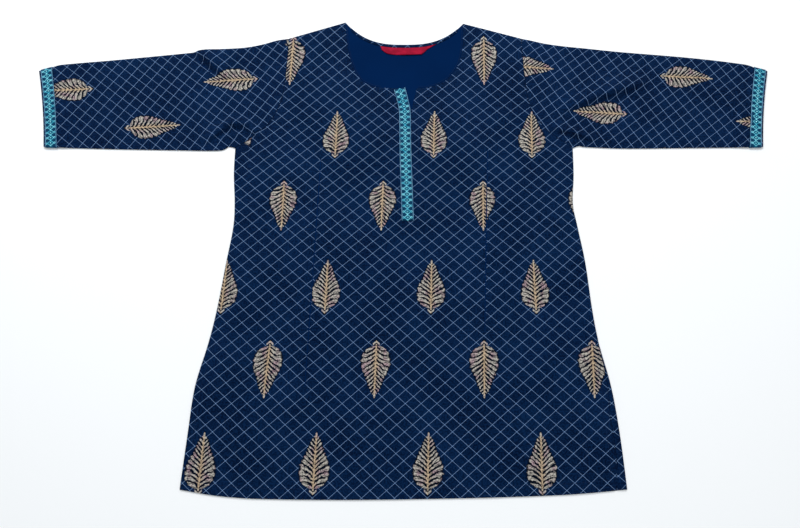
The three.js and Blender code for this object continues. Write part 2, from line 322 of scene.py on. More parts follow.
def upper_lift(xy: Array) -> Array:
    """How far folds and unevenness lift the upper layer at each point, in millimetres."""
    return sum((fold.lift(xy) for fold in FOLDS), RIPPLE.lift(xy))


# ---- lines ------------------------------------------------------------------------------------


def smooth(points: Sequence[Sequence[float]], spans: int = 8) -> Array:
    """A smooth line through points, with equal spans between each two."""
    p = np.array(points, float)
    ends = np.vstack([p[0], p, p[-1]])
    t = np.arange(spans)[:, None] / spans
    parts = []
    for i in range(len(p) - 1):
        before, a, b, after = ends[i : i + 4]
        m0, m1 = (b - before) / 2, (after - a) / 2
        cubic = (2 * a - 2 * b + m0 + m1) * t**3 + (-3 * a + 3 * b - 2 * m0 - m1) * t**2
        parts.append(cubic + m0 * t + a)
    return np.vstack([*parts, p[-1:]])


def lengths(line: Array) -> Array:
    """How far along the line each of its points is."""
    return np.concatenate([[0], np.cumsum(np.linalg.norm(np.diff(line, axis=0), axis=1))])


def point_at(line: Array, distance: Array | float) -> Array:
    """Points at distances along a line."""
    along = lengths(line)
    return np.stack([np.interp(distance, along, line[:, k]) for k in range(line.shape[1])], axis=-1)


def even(line: Array, pitch: float) -> Array:
    """The line again with points about a pitch apart."""
    total = lengths(line)[-1]
    return point_at(line, np.linspace(0, total, max(2, round(total / pitch) + 1)))


def offset(line: Array, distance: float) -> Array:
    """The line moved to its left by a distance."""
    ahead = np.vstack([line[1:], line[-1:]])
    behind = np.vstack([line[:1], line[:-1]])
    along = ahead - behind
    along /= np.linalg.norm(along, axis=1)[:, None]
    return line + distance * np.column_stack([-along[:, 1], along[:, 0]])


def figure_start(run: Array) -> float:
    """How far along a run of ribbon its first whole figure is, with as much left at the end."""
    total = lengths(run)[-1]
    return (total - math.floor((total - 2 * FIGURE_CLEAR) / FIGURE_PITCH) * FIGURE_PITCH) / 2


def figure_line(run: Array) -> Array:
    """The stretch of a run from its first figure to its last."""
    start, hair = figure_start(run), 0.002
    stop = lengths(run)[-1] - start + hair
    return point_at(run, np.linspace(start, stop, max(2, round((stop - start) / 2.0)) + 1))


def distance_to(points: Array, line: Array) -> Array:
    """Each point's distance from a line."""
    best = np.full(len(points), np.inf)
    for a, b in zip(line[:-1], line[1:]):
        run = b - a
        share = np.clip((points - a) @ run / max(run @ run, 1e-9), 0, 1)
        best = np.minimum(best, np.linalg.norm(points - a - share[:, None] * run, axis=1))
    return best


def inside(points: Array, outline: Array) -> Array:
    """Which points lie inside a closed outline."""
    x, y = points[:, 0], points[:, 1]
    hit = np.zeros(len(points), bool)
    for (x0, y0), (x1, y1) in zip(outline, np.roll(outline, -1, axis=0)):
        if y0 != y1:
            crosses = (y0 > y) != (y1 > y)
            hit ^= crosses & (x < (x1 - x0) * (y - y0) / (y1 - y0) + x0)
    return hit


def column(rows: Sequence[Row], side: Side) -> list[Point]:
    """One side of a table of heights, as points."""
    return [(row.side(side), row.at) for row in rows]


def side_seam(side: Side) -> Array:
    """A side seam from the hem to the underarm."""
    return smooth(column(SIDE_SEAM, side))


def armhole(side: Side) -> Array:
    """An armhole seam from the underarm to the shoulder."""
    return smooth(column(ARMHOLE, side))


@dataclass(frozen=True)
class Cut:
    """Sizes of the body's cut that both panels share."""

    neck_right: Point = (-97.0, 377.0)
    neck_left: Point = (101.0, 374.5)
    back_low: float = 333.5
    back_roundness: float = 2.8
    slit_top: float = 251.0
    slit_right: float = 4.5
    slit_left: float = 22.0
    slit_tip: Point = (12.5, 207.0)

    def neck_point(self, side: Side) -> Point:
        """Where the neckline meets the shoulder."""
        return self.neck_right if side is Side.RIGHT else self.neck_left

    def hem(self) -> Array:
        """The hem from the wearer's right to the left."""
        return even(smooth(HEM), 5)

    def back_neck(self, lower: float = 0.0, steps: int = 60) -> Array:
        """The back neckline from the wearer's left to the right, moved down by `lower`."""
        share = np.linspace(0, 1, steps + 1)
        x = self.neck_left[0] + share * (self.neck_right[0] - self.neck_left[0])
        top = self.neck_left[1] + share * (self.neck_right[1] - self.neck_left[1])
        middle = (self.neck_left[0] + self.neck_right[0]) / 2
        half = (self.neck_left[0] - self.neck_right[0]) / 2
        round_up = np.abs((x - middle) / half) ** self.back_roundness
        y = self.back_low + (top - self.back_low) * round_up - lower
        return np.column_stack([x, y])

    def front_neck_side(self, side: Side) -> Array:
        """The front neckline on one side, from the shoulder to the slit."""
        end = (self.slit_right if side is Side.RIGHT else self.slit_left, self.slit_top)
        return smooth([self.neck_point(side), *column(FRONT_NECK, side), end])

    def front_neck(self) -> Array:
        """The front neckline with its slit, from the wearer's left to the right."""
        left, right = self.front_neck_side(Side.LEFT), self.front_neck_side(Side.RIGHT)
        slit_left = even(np.array([left[-1], self.slit_tip]), 5)[1:]
        slit_right = even(np.array([self.slit_tip, right[-1]]), 5)[1:-1]
        return np.vstack([left, slit_left, slit_right, right[::-1]])

    def vented_edge(self, extra: float = 0.0) -> Array:
        """The front's left edge, drawn in along the open vent."""
        line = side_seam(Side.LEFT)
        heights, insets = np.array(VENT_INSET).T
        inset = np.interp(line[:, 1], heights, insets, right=0.0)
        return line - np.column_stack([inset - extra, np.zeros(len(line))])

    def outline(self, neckline: Array, left_edge: Array) -> Array:
        """A panel's whole edge, anticlockwise from the hem."""
        hem = self.hem()
        hem = hem[(hem[:, 0] > SIDE_SEAM[0].right + 1) & (hem[:, 0] < left_edge[0, 0] - 1)]
        shoulder_left = even(np.array([armhole(Side.LEFT)[-1], neckline[0]]), 6)[1:-1]
        shoulder_right = even(np.array([neckline[-1], armhole(Side.RIGHT)[-1]]), 6)[1:-1]
        return np.vstack(
            [
                hem,
                left_edge,
                armhole(Side.LEFT)[1:],
                shoulder_left,
                neckline,
                shoulder_right,
                armhole(Side.RIGHT)[::-1][:-1],
                side_seam(Side.RIGHT)[::-1],
            ]
        )


CUT = Cut()


@dataclass(frozen=True)
class PrintLay:
    """How the printed cloth lies on a piece: an upright motif's middle, and the lattice's steps."""

    middle: Point
    across: Point
    along: Point

    def cells(self, xy: Array) -> Array:
        """Places in the print, in lattice cells across and along, for points in millimetres."""
        steps = np.array([self.across, self.along]).T
        return np.linalg.solve(steps, (xy - np.array(self.middle)).T).T


BODY_LAY = PrintLay((41, -81), (22.2, 0.0), (0.6, 19.15))


@dataclass(frozen=True)
class ShoulderEase:
    """How the front's print spreads towards the shoulders."""

    start: float = 190.0
    reach: float = 114.0
    lengthwise: float = 6.5
    crosswise: float = 0.022

    def flat(self, xy: Array) -> Array:
        """Places on the unspread cloth."""
        share = np.clip((xy[:, 1] - self.start) / self.reach, 0, None)
        x = xy[:, 0] * (1 - self.crosswise * np.clip(2 * share, 0, 1))
        return np.column_stack([x, xy[:, 1] - self.lengthwise * share**2])


EASE = ShoulderEase()
BACK_LAY = PrintLay((-51.7, -40), (22.2, 0.0), (0.0, 19.35))
BINDING_LAY = PrintLay((39, 270), (22.2, 0.0), (0.6, 19.35))
SLEEVE_LAYS = {
    Side.RIGHT: PrintLay((-282.3, 265.4), (-5.4, 21.3), (-20.6, -1.4)),
    Side.LEFT: PrintLay((464, 271), (-6.1, -21.0), (19.9, -1.45)),
}


@dataclass(frozen=True)
class PlainPatch:
    """Cloth with no print in sight, within a reach of a short line."""

    start: Point
    end: Point
    reach: float
    soft: float = 3.0

    def share(self, xy: Array) -> Array:
        """How plain each point is, from 0 to 1."""
        distance = distance_to(xy, np.array([self.start, self.end]))
        return np.clip((self.reach - distance) / self.soft + 0.5, 0, 1)


FRONT_PATCHES = (PlainPatch((-264, 120), (-262, 138), 20.0),)
SLEEVE_PATCHES = {
    Side.RIGHT: (PlainPatch((-599, 284), (-569, 145), 6.0), PlainPatch((-206, 350), (-214, 322), 15.0)),
    Side.LEFT: (PlainPatch((599, 284), (569, 145), 6.0),),
}


# ---- shader values ----------------------------------------------------------------------------


def new_node(
    tree: bpy.types.NodeTree,
    kind: str,
    settings: dict[str, Any] | None = None,
    inputs: dict[str | int, Any] | None = None,
) -> bpy.types.Node:
    """Adds a node to a tree.

    Args:
        tree: The tree.
        kind: The node's type.
        settings: Its settings, and a ramp's stops as (place, colour) pairs.
        inputs: Values or links of its sockets, by name or number.

    Returns:
        The node.
    """
    node = tree.nodes.new(kind)
    for key, value in (settings or {}).items():
        if key == "stops":
            elements = node.color_ramp.elements
            while len(elements) < len(value):
                elements.new(0.5)
            for element, (place, colour) in zip(elements, value):
                element.position, element.color = place, colour
        else:
            setattr(node, key, value)
    for key, value in (inputs or {}).items():
        source = value.socket if isinstance(value, Value) else value
        if isinstance(source, bpy.types.NodeSocket):
            tree.links.new(source, node.inputs[key])
        else:
            node.inputs[key].default_value = source
    return node


class Net:
    """The node tree of one material."""

    def __init__(self, name: str) -> None:
        """Starts an empty tree.

        Args:
            name: The material's name.
        """
        self.material = bpy.data.materials.new(name)
        self.material.use_nodes = True
        self.tree = self.material.node_tree
        self.tree.nodes.clear()

    def add(self, kind: str, settings: dict[str, Any] | None = None, inputs: Any = None) -> bpy.types.Node:
        """Adds a node with its settings and its inputs' values or links."""
        return new_node(self.tree, kind, settings, inputs)

    def value(self, socket: bpy.types.NodeSocket) -> "Value":
        """A socket as a value."""
        return Value(self, socket)

    def place(self) -> tuple["Value", "Value"]:
        """The two coordinates of the piece's own cloth map."""
        uv = self.add("ShaderNodeUVMap", {"uv_map": UV_NAME})
        parts = self.add("ShaderNodeSeparateXYZ", inputs={0: uv.outputs[0]})
        return self.value(parts.outputs[0]), self.value(parts.outputs[1])

    def plain(self) -> "Value":
        """How plain the piece's own cloth is left."""
        return self.value(self.add("ShaderNodeAttribute", {"attribute_name": PLAIN_NAME}).outputs["Fac"])

    def object_place(self) -> bpy.types.NodeSocket:
        """Object coordinates."""
        return self.add("ShaderNodeTexCoord").outputs["Object"]

    def noise(self, scale: float, detail: float) -> "Value":
        """Noise from 0 to 1 about 0.5, on object coordinates."""
        inputs = {"Vector": self.object_place(), "Scale": scale, "Detail": detail}
        return self.value(self.add("ShaderNodeTexNoise", inputs=inputs).outputs[0])

    def blend(self, factor: Any, low: Any, high: Any) -> bpy.types.NodeSocket:
        """A mix of two colours."""
        settings = {"data_type": "RGBA", "clamp_factor": True}
        return self.add("ShaderNodeMix", settings, {0: factor, 6: low, 7: high}).outputs[2]

    def ramp(self, factor: Any, stops: Sequence[tuple[float, float]]) -> "Value":
        """A number read off a chart of (place, value) pairs."""
        colours = [(place, (level, level, level, 1.0)) for place, level in stops]
        node = self.add("ShaderNodeValToRGB", {"stops": colours}, {0: factor})
        return self.value(node.outputs[0])

    def surface(self, **inputs: Any) -> bpy.types.Material:
        """Ends the tree in a Principled shader with these inputs, underscores for spaces."""
        named = {key.replace("_", " "): value for key, value in inputs.items()}
        named["Specular IOR Level"] = named.pop("Specular", 0.5)
        shader = self.add("ShaderNodeBsdfPrincipled", inputs=named)
        self.add("ShaderNodeOutputMaterial", inputs={"Surface": shader.outputs[0]})
        return self.material

    def bump(self, height: Any, distance: float, strength: float = 1.0) -> bpy.types.NodeSocket:
        """A normal from a height."""
        inputs = {"Height": height, "Distance": distance, "Strength": strength}
        return self.add("ShaderNodeBump", inputs=inputs).outputs[0]


class Value:
    """A number that varies over a surface. Its arithmetic adds Math nodes."""

    def __init__(self, net: Net, socket: bpy.types.NodeSocket) -> None:
        """Wraps a socket of a net."""
        self.net, self.socket = net, socket

    def math(self, operation: str, *others: Any, before: Any = None) -> "Value":
        """Adds a Math node.

        Args:
            operation: The node's operation.
            others: What follows this value.
            before: What goes ahead of this value, where the order is reversed.

        Returns:
            The result.
        """
        operands = ([before] if before is not None else []) + [self, *others]
        node = self.net.add("ShaderNodeMath", {"operation": operation}, dict(enumerate(operands)))
        return Value(self.net, node.outputs[0])

    def __add__(self, other: Any) -> "Value":
        """This and another."""
        return self.math("ADD", other)

    __radd__ = __add__

    def __sub__(self, other: Any) -> "Value":
        """This less another."""
        return self.math("SUBTRACT", other)

    def __rsub__(self, other: Any) -> "Value":
        """Another less this."""
        return self.math("SUBTRACT", before=other)

    def __mul__(self, other: Any) -> "Value":
        """This times another."""
        return self.math("MULTIPLY", other)

    __rmul__ = __mul__

    def __truediv__(self, other: Any) -> "Value":
        """This over another."""
        return self.math("DIVIDE", other)

    def __abs__(self) -> "Value":
        """This without its sign."""
        return self.math("ABSOLUTE")

    def round(self) -> "Value":
        """The nearest whole number."""
        return self.math("ROUND")

    def fract(self) -> "Value":
        """What is above the whole number below."""
        return self.math("FRACT")

    def sine(self) -> "Value":
        """Its sine."""
        return self.math("SINE")

    def least(self, other: Any) -> "Value":
        """The lower of two."""
        return self.math("MINIMUM", other)

    def most(self, other: Any) -> "Value":
        """The higher of two."""
        return self.math("MAXIMUM", other)

    def soft_step(self, low: float, high: float) -> "Value":
        """0 below `low`, 1 above `high`, and smooth between, or the other way where low > high."""
        ends = (low, high, 0.0, 1.0) if low < high else (high, low, 1.0, 0.0)
        inputs = dict(zip(("Value", "From Min", "From Max", "To Min", "To Max"), (self, *ends)))
        node = self.net.add("ShaderNodeMapRange", {"interpolation_type": "SMOOTHSTEP"}, inputs)
        return Value(self.net, node.outputs[0])

    def to_line(self) -> "Value":
        """How far this is from the nearest whole number."""
        return abs((self + 0.5).fract() - 0.5)


def shade(red: int, green: int, blue: int) -> Colour:
    """A colour from its 8-bit sRGB values, as the linear values that nodes use."""

    def linear(part: int) -> float:
        """One channel."""
        x = part / 255
        return x / 12.92 if x <= 0.04045 else ((x + 0.055) / 1.055) ** 2.4

    return (linear(red), linear(green), linear(blue), 1.0)


# ---- finishes ---------------------------------------------------------------------------------


@dataclass(frozen=True)
class Weave:
    """A plain weave's relief."""

    pitch: float = 0.42
    depth: float = 0.00006

    def height(self, net: Net, u: Value, v: Value) -> Value:
        """The weave's height at a place given in millimetres."""
        turn = 2 * math.pi / self.pitch
        warp, weft = (u * turn).sine(), (v * turn).sine()
        slub = net.noise(900, 1.0)
        return warp * weft * 0.5 + slub * 0.9


@dataclass(frozen=True)
class LeafMotif:
    """The printed leaf: a stem with paired twigs that fork towards their tips.

    Lengths are shares of the leaf's length, from its base to its tip.
    """

    length: float = 81.0
    twigs: float = 13.5
    rise: float = 0.98
    breadth: float = 0.95
    chart: tuple[tuple[float, float], ...] = (
        (0.080, 0.030),
        (0.115, 0.110),
        (0.150, 0.165),
        (0.200, 0.212),
        (0.260, 0.240),
        (0.330, 0.250),
        (0.400, 0.252),
        (0.480, 0.238),
        (0.590, 0.196),
        (0.670, 0.158),
        (0.750, 0.130),
        (0.830, 0.100),
        (0.900, 0.068),
        (0.960, 0.012),
    )

    def masks(self, net: Net, x: Value, y: Value) -> tuple[Value, Value, Value, Value]:
        """The leaf's ink.

        Args:
            net: The material's tree.
            x: Millimetres across from the leaf's middle.
            y: Millimetres along from its middle, towards the tip.

        Returns:
            The ink, the painted shade within the leaf and just round it, the ground kept clear of other
            print, and how far out from the stem a place is.
        """
        share = y / self.length + 0.5
        out = abs(x) / self.length
        reach = out / (net.ramp(share, self.chart) * self.breadth).most(0.004)
        droop = (3.9 - share * 5.4).most(0.0)
        hand = (net.noise(230, 2.0) - 0.5) * 0.9
        root = share - out * self.rise + out * out * droop
        count = root * self.twigs + x.math("SIGN") * 0.12 + hand
        from_gap = abs(count.fract() - 0.5) * 2
        upper = share.soft_step(0.52, 0.74)
        opened = out.soft_step(0.006, 0.022)
        gap = opened * (reach.soft_step(0.86, 0.50) * 0.34 + 0.12 + upper * 0.16)
        twig = (from_gap - gap).soft_step(-0.08, 0.18)
        from_deep = abs((count / 3).fract() - 0.5) * 6
        twig = twig.least((from_deep - opened * (0.62 - reach * 0.34)).soft_step(-0.06, 0.16))
        fingers = (root + out * 0.12) * self.twigs * 2.0 + 0.5 + hand
        from_finger = abs(fingers.fract() - 0.5) * 2
        notch = reach.soft_step(0.42, 0.66) * reach.soft_step(1.0, 0.86) * (1 - upper) * 0.24
        twig = twig.least((from_finger - notch).soft_step(-0.12, 0.14) * 0.8 + 0.2)
        ragged = (net.noise(330, 1.0) - 0.5) * 0.34
        edge = reach + ragged + (1 - from_gap) * (upper * 0.34 + 0.12)
        blade = edge.soft_step(1.12, 1.0) * share.soft_step(0.085, 0.105) * share.soft_step(0.99, 0.97)
        stem_half = (1 - share) * 0.009 + 0.004
        stem = (out - stem_half).soft_step(0.004, -0.004)
        stem = stem * share.soft_step(0.05, 0.07) * share.soft_step(0.97, 0.94)
        arms = abs(share - out * 0.85 - 0.015).soft_step(0.022, 0.014) * out.soft_step(0.066, 0.054)
        bud_out, bud_up = out / 0.017, (share - 0.962) / 0.042
        bud = (bud_out * bud_out + bud_up * bud_up).soft_step(1.1, 0.8)
        ink = (blade * twig).most(stem).most(arms).most(bud)
        within = share.soft_step(-0.04, 0.0) * share.soft_step(1.04, 1.0)
        # painted shade: this mask darkens the ground inside the leaf's outline and just beyond it
        deep = reach.soft_step(1.22, 1.0) * within
        clear = reach.soft_step(1.20, 1.08) * within
        return ink, deep, clear.most(arms), reach


@dataclass(frozen=True)
class PrintedCotton:
    """Navy cotton printed with a fine diamond lattice and rows of leaves, turned row by row."""

    ground: Colour = shade(7, 36, 73)
    ground_deep: Colour = shade(0, 12, 38)
    # painted shade: the near-black that fills the leaf's gaps and rims its outline
    leaf_ground: Colour = shade(0, 6, 20)
    line: Colour = shade(142, 178, 226)
    leaf_core: Colour = shade(196, 172, 142)
    leaf_edge: Colour = shade(192, 186, 176)
    leaf_pink: Colour = shade(176, 150, 156)
    cell: Point = (22.2, 19.15)
    columns: float = 7.0
    rows: float = 6.5
    line_width: float = 0.52
    line_ink: float = 0.50
    base_to_crossing: float = 2.34
    turned_shift: float = 3.3
    weave: Weave = Weave()
    leaf: LeafMotif = LeafMotif()

    def material(self, name: str) -> bpy.types.Material:
        """The finished material, on a cloth map in lattice cells."""
        net = Net(name)
        a, b = net.place()
        row = (b / self.rows).round()
        odd = (row * 0.5).fract() * 2
        step = (a - odd * (self.columns / 2)) / self.columns
        x = (step - step.round()) * (self.columns * self.cell[0])
        y = (b - row * self.rows) * (1 - odd * 2) * self.cell[1] + odd * self.turned_shift
        ink, deep, clear, reach = self.leaf.masks(net, x, y)
        printed = 1 - net.plain()
        ink, deep = ink * printed, deep * printed
        lattice = self.lattice(net, a, b + self.base_to_crossing) * (1 - clear)
        broad = net.noise(14, 3.0).soft_step(0.3, 0.7)
        fine = net.noise(400, 2.0).soft_step(0.36, 0.64)
        mottle = broad * 0.35 + fine * 0.65
        ground = net.blend(mottle, self.ground_deep, self.ground)
        # painted shade: the ground turns near-black between the twigs and just round the leaf
        ground = net.blend(deep * 0.92, ground, self.leaf_ground)
        worn = net.noise(480, 2.0).soft_step(0.2, 0.6) * 0.5 + 0.65
        lined = net.blend(lattice * worn, ground, self.line)
        rosy = net.blend(net.noise(95, 1.0).soft_step(0.45, 0.7), self.leaf_edge, self.leaf_pink)
        gold = net.blend(reach.soft_step(0.0, 0.42), self.leaf_core, rosy)
        rub = net.noise(430, 1.0).soft_step(0.34, 0.60) * 0.60 + 0.34
        inked = net.blend(ink * rub, lined, gold)
        height = self.weave.height(net, a * self.cell[0], b * self.cell[1]) + ink * 0.6
        return net.surface(
            Base_Color=inked,
            Roughness=0.86 - ink * 0.22,
            Specular=0.03,
            Sheen_Weight=0.01,
            Sheen_Roughness=0.5,
            Normal=net.bump(height, self.weave.depth, 0.6),
        )

    def lattice(self, net: Net, a: Value, b: Value) -> Value:
        """The lattice's ink at a place in cells, heavier where lines cross."""
        width, height = self.cell
        spacing = width * height / math.hypot(width, height)
        waver = net.noise(24, 1.0) * 0.02
        half = self.line_width / 2 / spacing
        rising = (a + b + waver).to_line().soft_step(half * 1.4, half * 0.6)
        falling = (a - b + waver).to_line().soft_step(half * 1.4, half * 0.6)
        return (rising + falling) * self.line_ink


@dataclass(frozen=True)
class PlainCotton:
    """The cloth's wrong side: plain navy with its weave."""

    colour: Colour = shade(0, 30, 72)
    deep: Colour = shade(0, 27, 66)
    weave: Weave = Weave()

    def material(self, name: str) -> bpy.types.Material:
        """The finished material, on object coordinates."""
        net = Net(name)
        parts = net.add("ShaderNodeSeparateXYZ", inputs={0: net.object_place()})
        u, v = (net.value(parts.outputs[k]) / MM for k in (0, 1))
        tint = net.blend(net.noise(7, 3.0).soft_step(0.3, 0.7), self.deep, self.colour)
        height = self.weave.height(net, u, v)
        return net.surface(
            Base_Color=tint, Roughness=0.88, Specular=0.02, Normal=net.bump(height, self.weave.depth, 0.6)
        )


@dataclass(frozen=True)
class Ribbon:
    """Woven ribbon: dark teal ground, paler down the middle, with darker points at its sides."""

    width: float = 18.0
    ground: Colour = shade(0, 74, 106)
    middle: Colour = shade(0, 90, 120)
    points: Colour = shade(0, 52, 84)
    selvedge: Colour = shade(0, 74, 106)

    def material(self, name: str) -> bpy.types.Material:
        """The finished material, on a cloth map in millimetres across and figures along."""
        net = Net(name)
        u, v = net.place()
        out = abs(u) / (self.width / 2)
        beat = v.to_line() * 2
        body = (out + beat * 0.30).soft_step(0.62, 0.40)
        point = (out + beat * 0.72).soft_step(0.86, 1.02) * out.soft_step(0.88, 0.80)
        colour = net.blend(body, self.ground, self.middle)
        colour = net.blend(point, colour, self.points)
        colour = net.blend(out.soft_step(0.84, 0.88), colour, self.selvedge)
        rib = (v * (2 * math.pi * FIGURE_PITCH / 0.6)).sine() * 0.5
        speck = net.noise(1400, 1.0)
        colour = net.blend(speck.soft_step(0.35, 0.75) * 0.35, colour, self.points)
        return net.surface(
            Base_Color=colour, Roughness=0.6, Specular=0.08, Normal=net.bump(rib + speck, 0.00008, 0.7)
        )


@dataclass(frozen=True)
class Floss:
    """Bright embroidery thread with a twist."""

    colour: Colour = shade(136, 226, 240)
    deep: Colour = shade(46, 172, 200)
    rough: float = 0.42

    def material(self, name: str) -> bpy.types.Material:
        """The finished material."""
        net = Net(name)
        strands = net.noise(2600, 1.0)
        tone = net.noise(160, 2.0)
        colour = net.blend(tone.soft_step(0.3, 0.62), self.deep, self.colour)
        return net.surface(
            Base_Color=colour, Roughness=self.rough, Specular=0.25, Normal=net.bump(strands, 0.00005, 0.5)
        )


@dataclass(frozen=True)
class SewingThread:
    """Matt sewing thread."""

    colour: Colour = shade(6, 38, 82)
    deep: Colour = shade(2, 24, 58)

    def material(self, name: str) -> bpy.types.Material:
        """The finished material."""
        net = Net(name)
        strands = net.noise(3000, 1.0)
        colour = net.blend(strands.soft_step(0.3, 0.7), self.deep, self.colour)
        return net.surface(Base_Color=colour, Roughness=0.7, Specular=0.2, Normal=net.bump(strands, 0.00004))


@dataclass(frozen=True)
class SequinFilm:
    """Small cupped sequins of clear bluish film."""

    colour: Colour = shade(170, 236, 244)
    deep: Colour = shade(120, 210, 226)

    def material(self, name: str) -> bpy.types.Material:
        """The finished material."""
        net = Net(name)
        scratch = net.noise(3000, 1.0)
        colour = net.blend(scratch.soft_step(0.3, 0.7) * 0.3, self.colour, self.deep)
        return net.surface(Base_Color=colour, Metallic=0.55, Roughness=0.16 + scratch * 0.1, Specular=0.6)


@dataclass(frozen=True)
class LabelSatin:
    """Plain red label satin with a fine lengthwise rib."""

    colour: Colour = shade(160, 14, 48)
    deep: Colour = shade(132, 6, 38)

    def material(self, name: str) -> bpy.types.Material:
        """The finished material, on a cloth map in millimetres."""
        net = Net(name)
        u, v = net.place()
        rib = (v * (2 * math.pi / 0.35)).sine() * 0.5 + (u * (2 * math.pi / 0.5)).sine() * 0.2
        tone = net.noise(120, 2.0)
        colour = net.blend(tone.soft_step(0.3, 0.7), self.deep, self.colour)
        return net.surface(
            Base_Color=colour, Roughness=0.55, Specular=0.04, Normal=net.bump(rib + tone, 0.00006, 0.6)
        )


@dataclass(frozen=True)
class TablePaper:
    """The pale ground that the garment lies on."""

    colour: Colour = (0.95, 0.965, 0.975, 1.0)
    tooth_colour: Colour = (0.93, 0.95, 0.965, 1.0)

    def material(self, name: str) -> bpy.types.Material:
        """The finished material."""
        net = Net(name)
        tooth = net.noise(300, 2.0)
        tint = net.blend(tooth * 0.1, self.colour, self.tooth_colour)
        return net.surface(Base_Color=tint, Roughness=0.9, Specular=0.1)


# ---- meshes -----------------------------------------------------------------------------------


@dataclass
class Skin:
    """A surface before it has thickness: points in millimetres, faces, and a map for each corner."""

    points: Array
    faces: Faces
    corners: Array


def new_object(name: str, mesh: bpy.types.Mesh, materials: Sequence[bpy.types.Material]) -> bpy.types.Object:
    """An object in the scene for a mesh.

    Args:
        name: The piece's name.
        mesh: Its mesh, in metres and in place.
        materials: Its materials, in the order of the faces' numbers.

    Returns:
        The object.
    """
    for material in materials:
        mesh.materials.append(material)
    piece = bpy.data.objects.new(name, mesh)
    bpy.context.scene.collection.objects.link(piece)
    for polygon in mesh.polygons:
        polygon.use_smooth = True
    return piece


def mesh_from(
    name: str, points: Array, faces: Sequence[Sequence[int]], corners: Array | None = None
) -> bpy.types.Mesh:
    """A mesh from points in millimetres, with a cloth map where corners are given."""
    mesh = bpy.data.meshes.new(name)
    mesh.from_pydata((points * MM).tolist(), [], [list(face) for face in faces])
    if corners is not None:
        layer = mesh.uv_layers.new(name=UV_NAME)
        layer.data.foreach_set("uv", np.asarray(corners, np.float32).ravel())
    mesh.validate()
    return mesh


def press_flat(mesh: bpy.types.Mesh) -> None:
    """Presses what would reach below the ground on to it, thinner but not quite flat."""
    rest, squeeze = 0.05 * MM, 0.25
    for vertex in mesh.vertices:
        if vertex.co.z < rest:
            vertex.co.z = rest + max(vertex.co.z + MM, 0.0) * squeeze


def facing_up(points: Array, faces: Faces) -> Faces:
    """The faces of a flat sheet, turned over where the first of them faces down."""
    a, b, c = (points[corner][:2] for corner in faces[0][:3])
    ahead, then = b - a, c - b
    if ahead[0] * then[1] < ahead[1] * then[0]:
        return [tuple(reversed(face)) for face in faces]
    return faces


def leave_plain(mesh: bpy.types.Mesh, patches: Sequence[PlainPatch]) -> None:
    """Marks where a mesh's print is out of sight."""
    places = np.empty(len(mesh.vertices) * 3)
    mesh.vertices.foreach_get("co", places)
    xy = places.reshape(-1, 3)[:, :2] / MM
    level = np.max([patch.share(xy) for patch in patches], axis=0)
    mesh.attributes.new(PLAIN_NAME, "FLOAT", "POINT").data.foreach_set("value", level)


def two_faced(
    name: str, upper: Skin, lower_points: Array, materials: Sequence[bpy.types.Material], print_face: Face
) -> bpy.types.Object:
    """A closed sheet between an upper skin and a lower copy of it.

    Args:
        name: The piece's name.
        upper: The upper skin.
        lower_points: Where its points lie on the lower face, in millimetres.
        materials: The print and the wrong side.
        print_face: The face with the print.

    Returns:
        The object. Its rim is plain.
    """
    count = len(upper.points)
    counts: dict[tuple[int, int], int] = {}
    for face in upper.faces:
        for i, j in zip(face, face[1:] + face[:1]):
            counts[(i, j)] = counts.get((i, j), 0) + 1
    mapped = split(upper)
    corner_of = {vertex: corner for corners, face in mapped for corner, vertex in zip(corners, face)}
    faces, corners, numbers = list(upper.faces), list(upper.corners), [0] * len(upper.faces)
    for face_corners, face in mapped:
        faces.append(tuple(i + count for i in reversed(face)))
        corners.extend(reversed(face_corners))
        numbers.append(1)
    for (i, j) in counts:
        if (j, i) not in counts:
            faces.append((i, i + count, j + count, j))
            corners.extend([corner_of[i], corner_of[i], corner_of[j], corner_of[j]])
            numbers.append(2)
    points = np.vstack([upper.points, lower_points])
    mesh = mesh_from(name, points, faces, np.array([list(c) for c in corners]))
    slot = {Face.UP: {0: 0, 1: 1, 2: 1}, Face.DOWN: {0: 1, 1: 0, 2: 1}}[print_face]
    mesh.polygons.foreach_set("material_index", [slot[number] for number in numbers])
    return new_object(name, mesh, materials)


def split(skin: Skin) -> list[tuple[list[tuple[float, float]], tuple[int, ...]]]:
    """Each face with its corners' places in the cloth map."""
    result, start = [], 0
    rows = [tuple(row) for row in skin.corners]
    for face in skin.faces:
        result.append((rows[start : start + len(face)], face))
        start += len(face)
    return result


def triangulate(
    outline: Array, pitch: float, extra: Sequence[Array] = (), lines: Sequence[Array] = ()
) -> tuple[Array, Faces]:
    """Triangles that fill an outline.

    Args:
        outline: The closed edge, anticlockwise.
        pitch: Distance between the points inside.
        extra: More points to use, such as lines just inside the edge.
        lines: Open lines that triangles must not cross.

    Returns:
        The points and the triangles.
    """
    low, high = outline.min(0), outline.max(0)
    xs = np.arange(low[0] + pitch / 2, high[0], pitch)
    ys = np.arange(low[1] + pitch / 2, high[1], pitch * 0.866)
    grid = np.array([(x + (k % 2) * pitch / 2, y) for k, y in enumerate(ys) for x in xs])
    grid = grid[inside(grid, outline)]
    keep = distance_to(grid, np.vstack([outline, outline[:1]])) > pitch * 0.6
    for line in [*extra, *lines]:
        keep &= distance_to(grid, line) > pitch * 0.45
    added = [line[inside(line, outline)] for line in extra]
    points = [outline, grid[keep], *added]
    edges: list[tuple[int, int]] = []
    start = sum(len(part) for part in points)
    for line in lines:
        points.append(line)
        edges += [(start + i, start + i + 1) for i in range(len(line) - 1)]
        start += len(line)
    everything = [Vector(p) for p in np.vstack(points)]
    found = delaunay_2d_cdt(everything, edges, [list(range(len(outline)))], 1, 1e-4)
    return np.array([tuple(v) for v in found[0]]), [tuple(face) for face in found[2]]


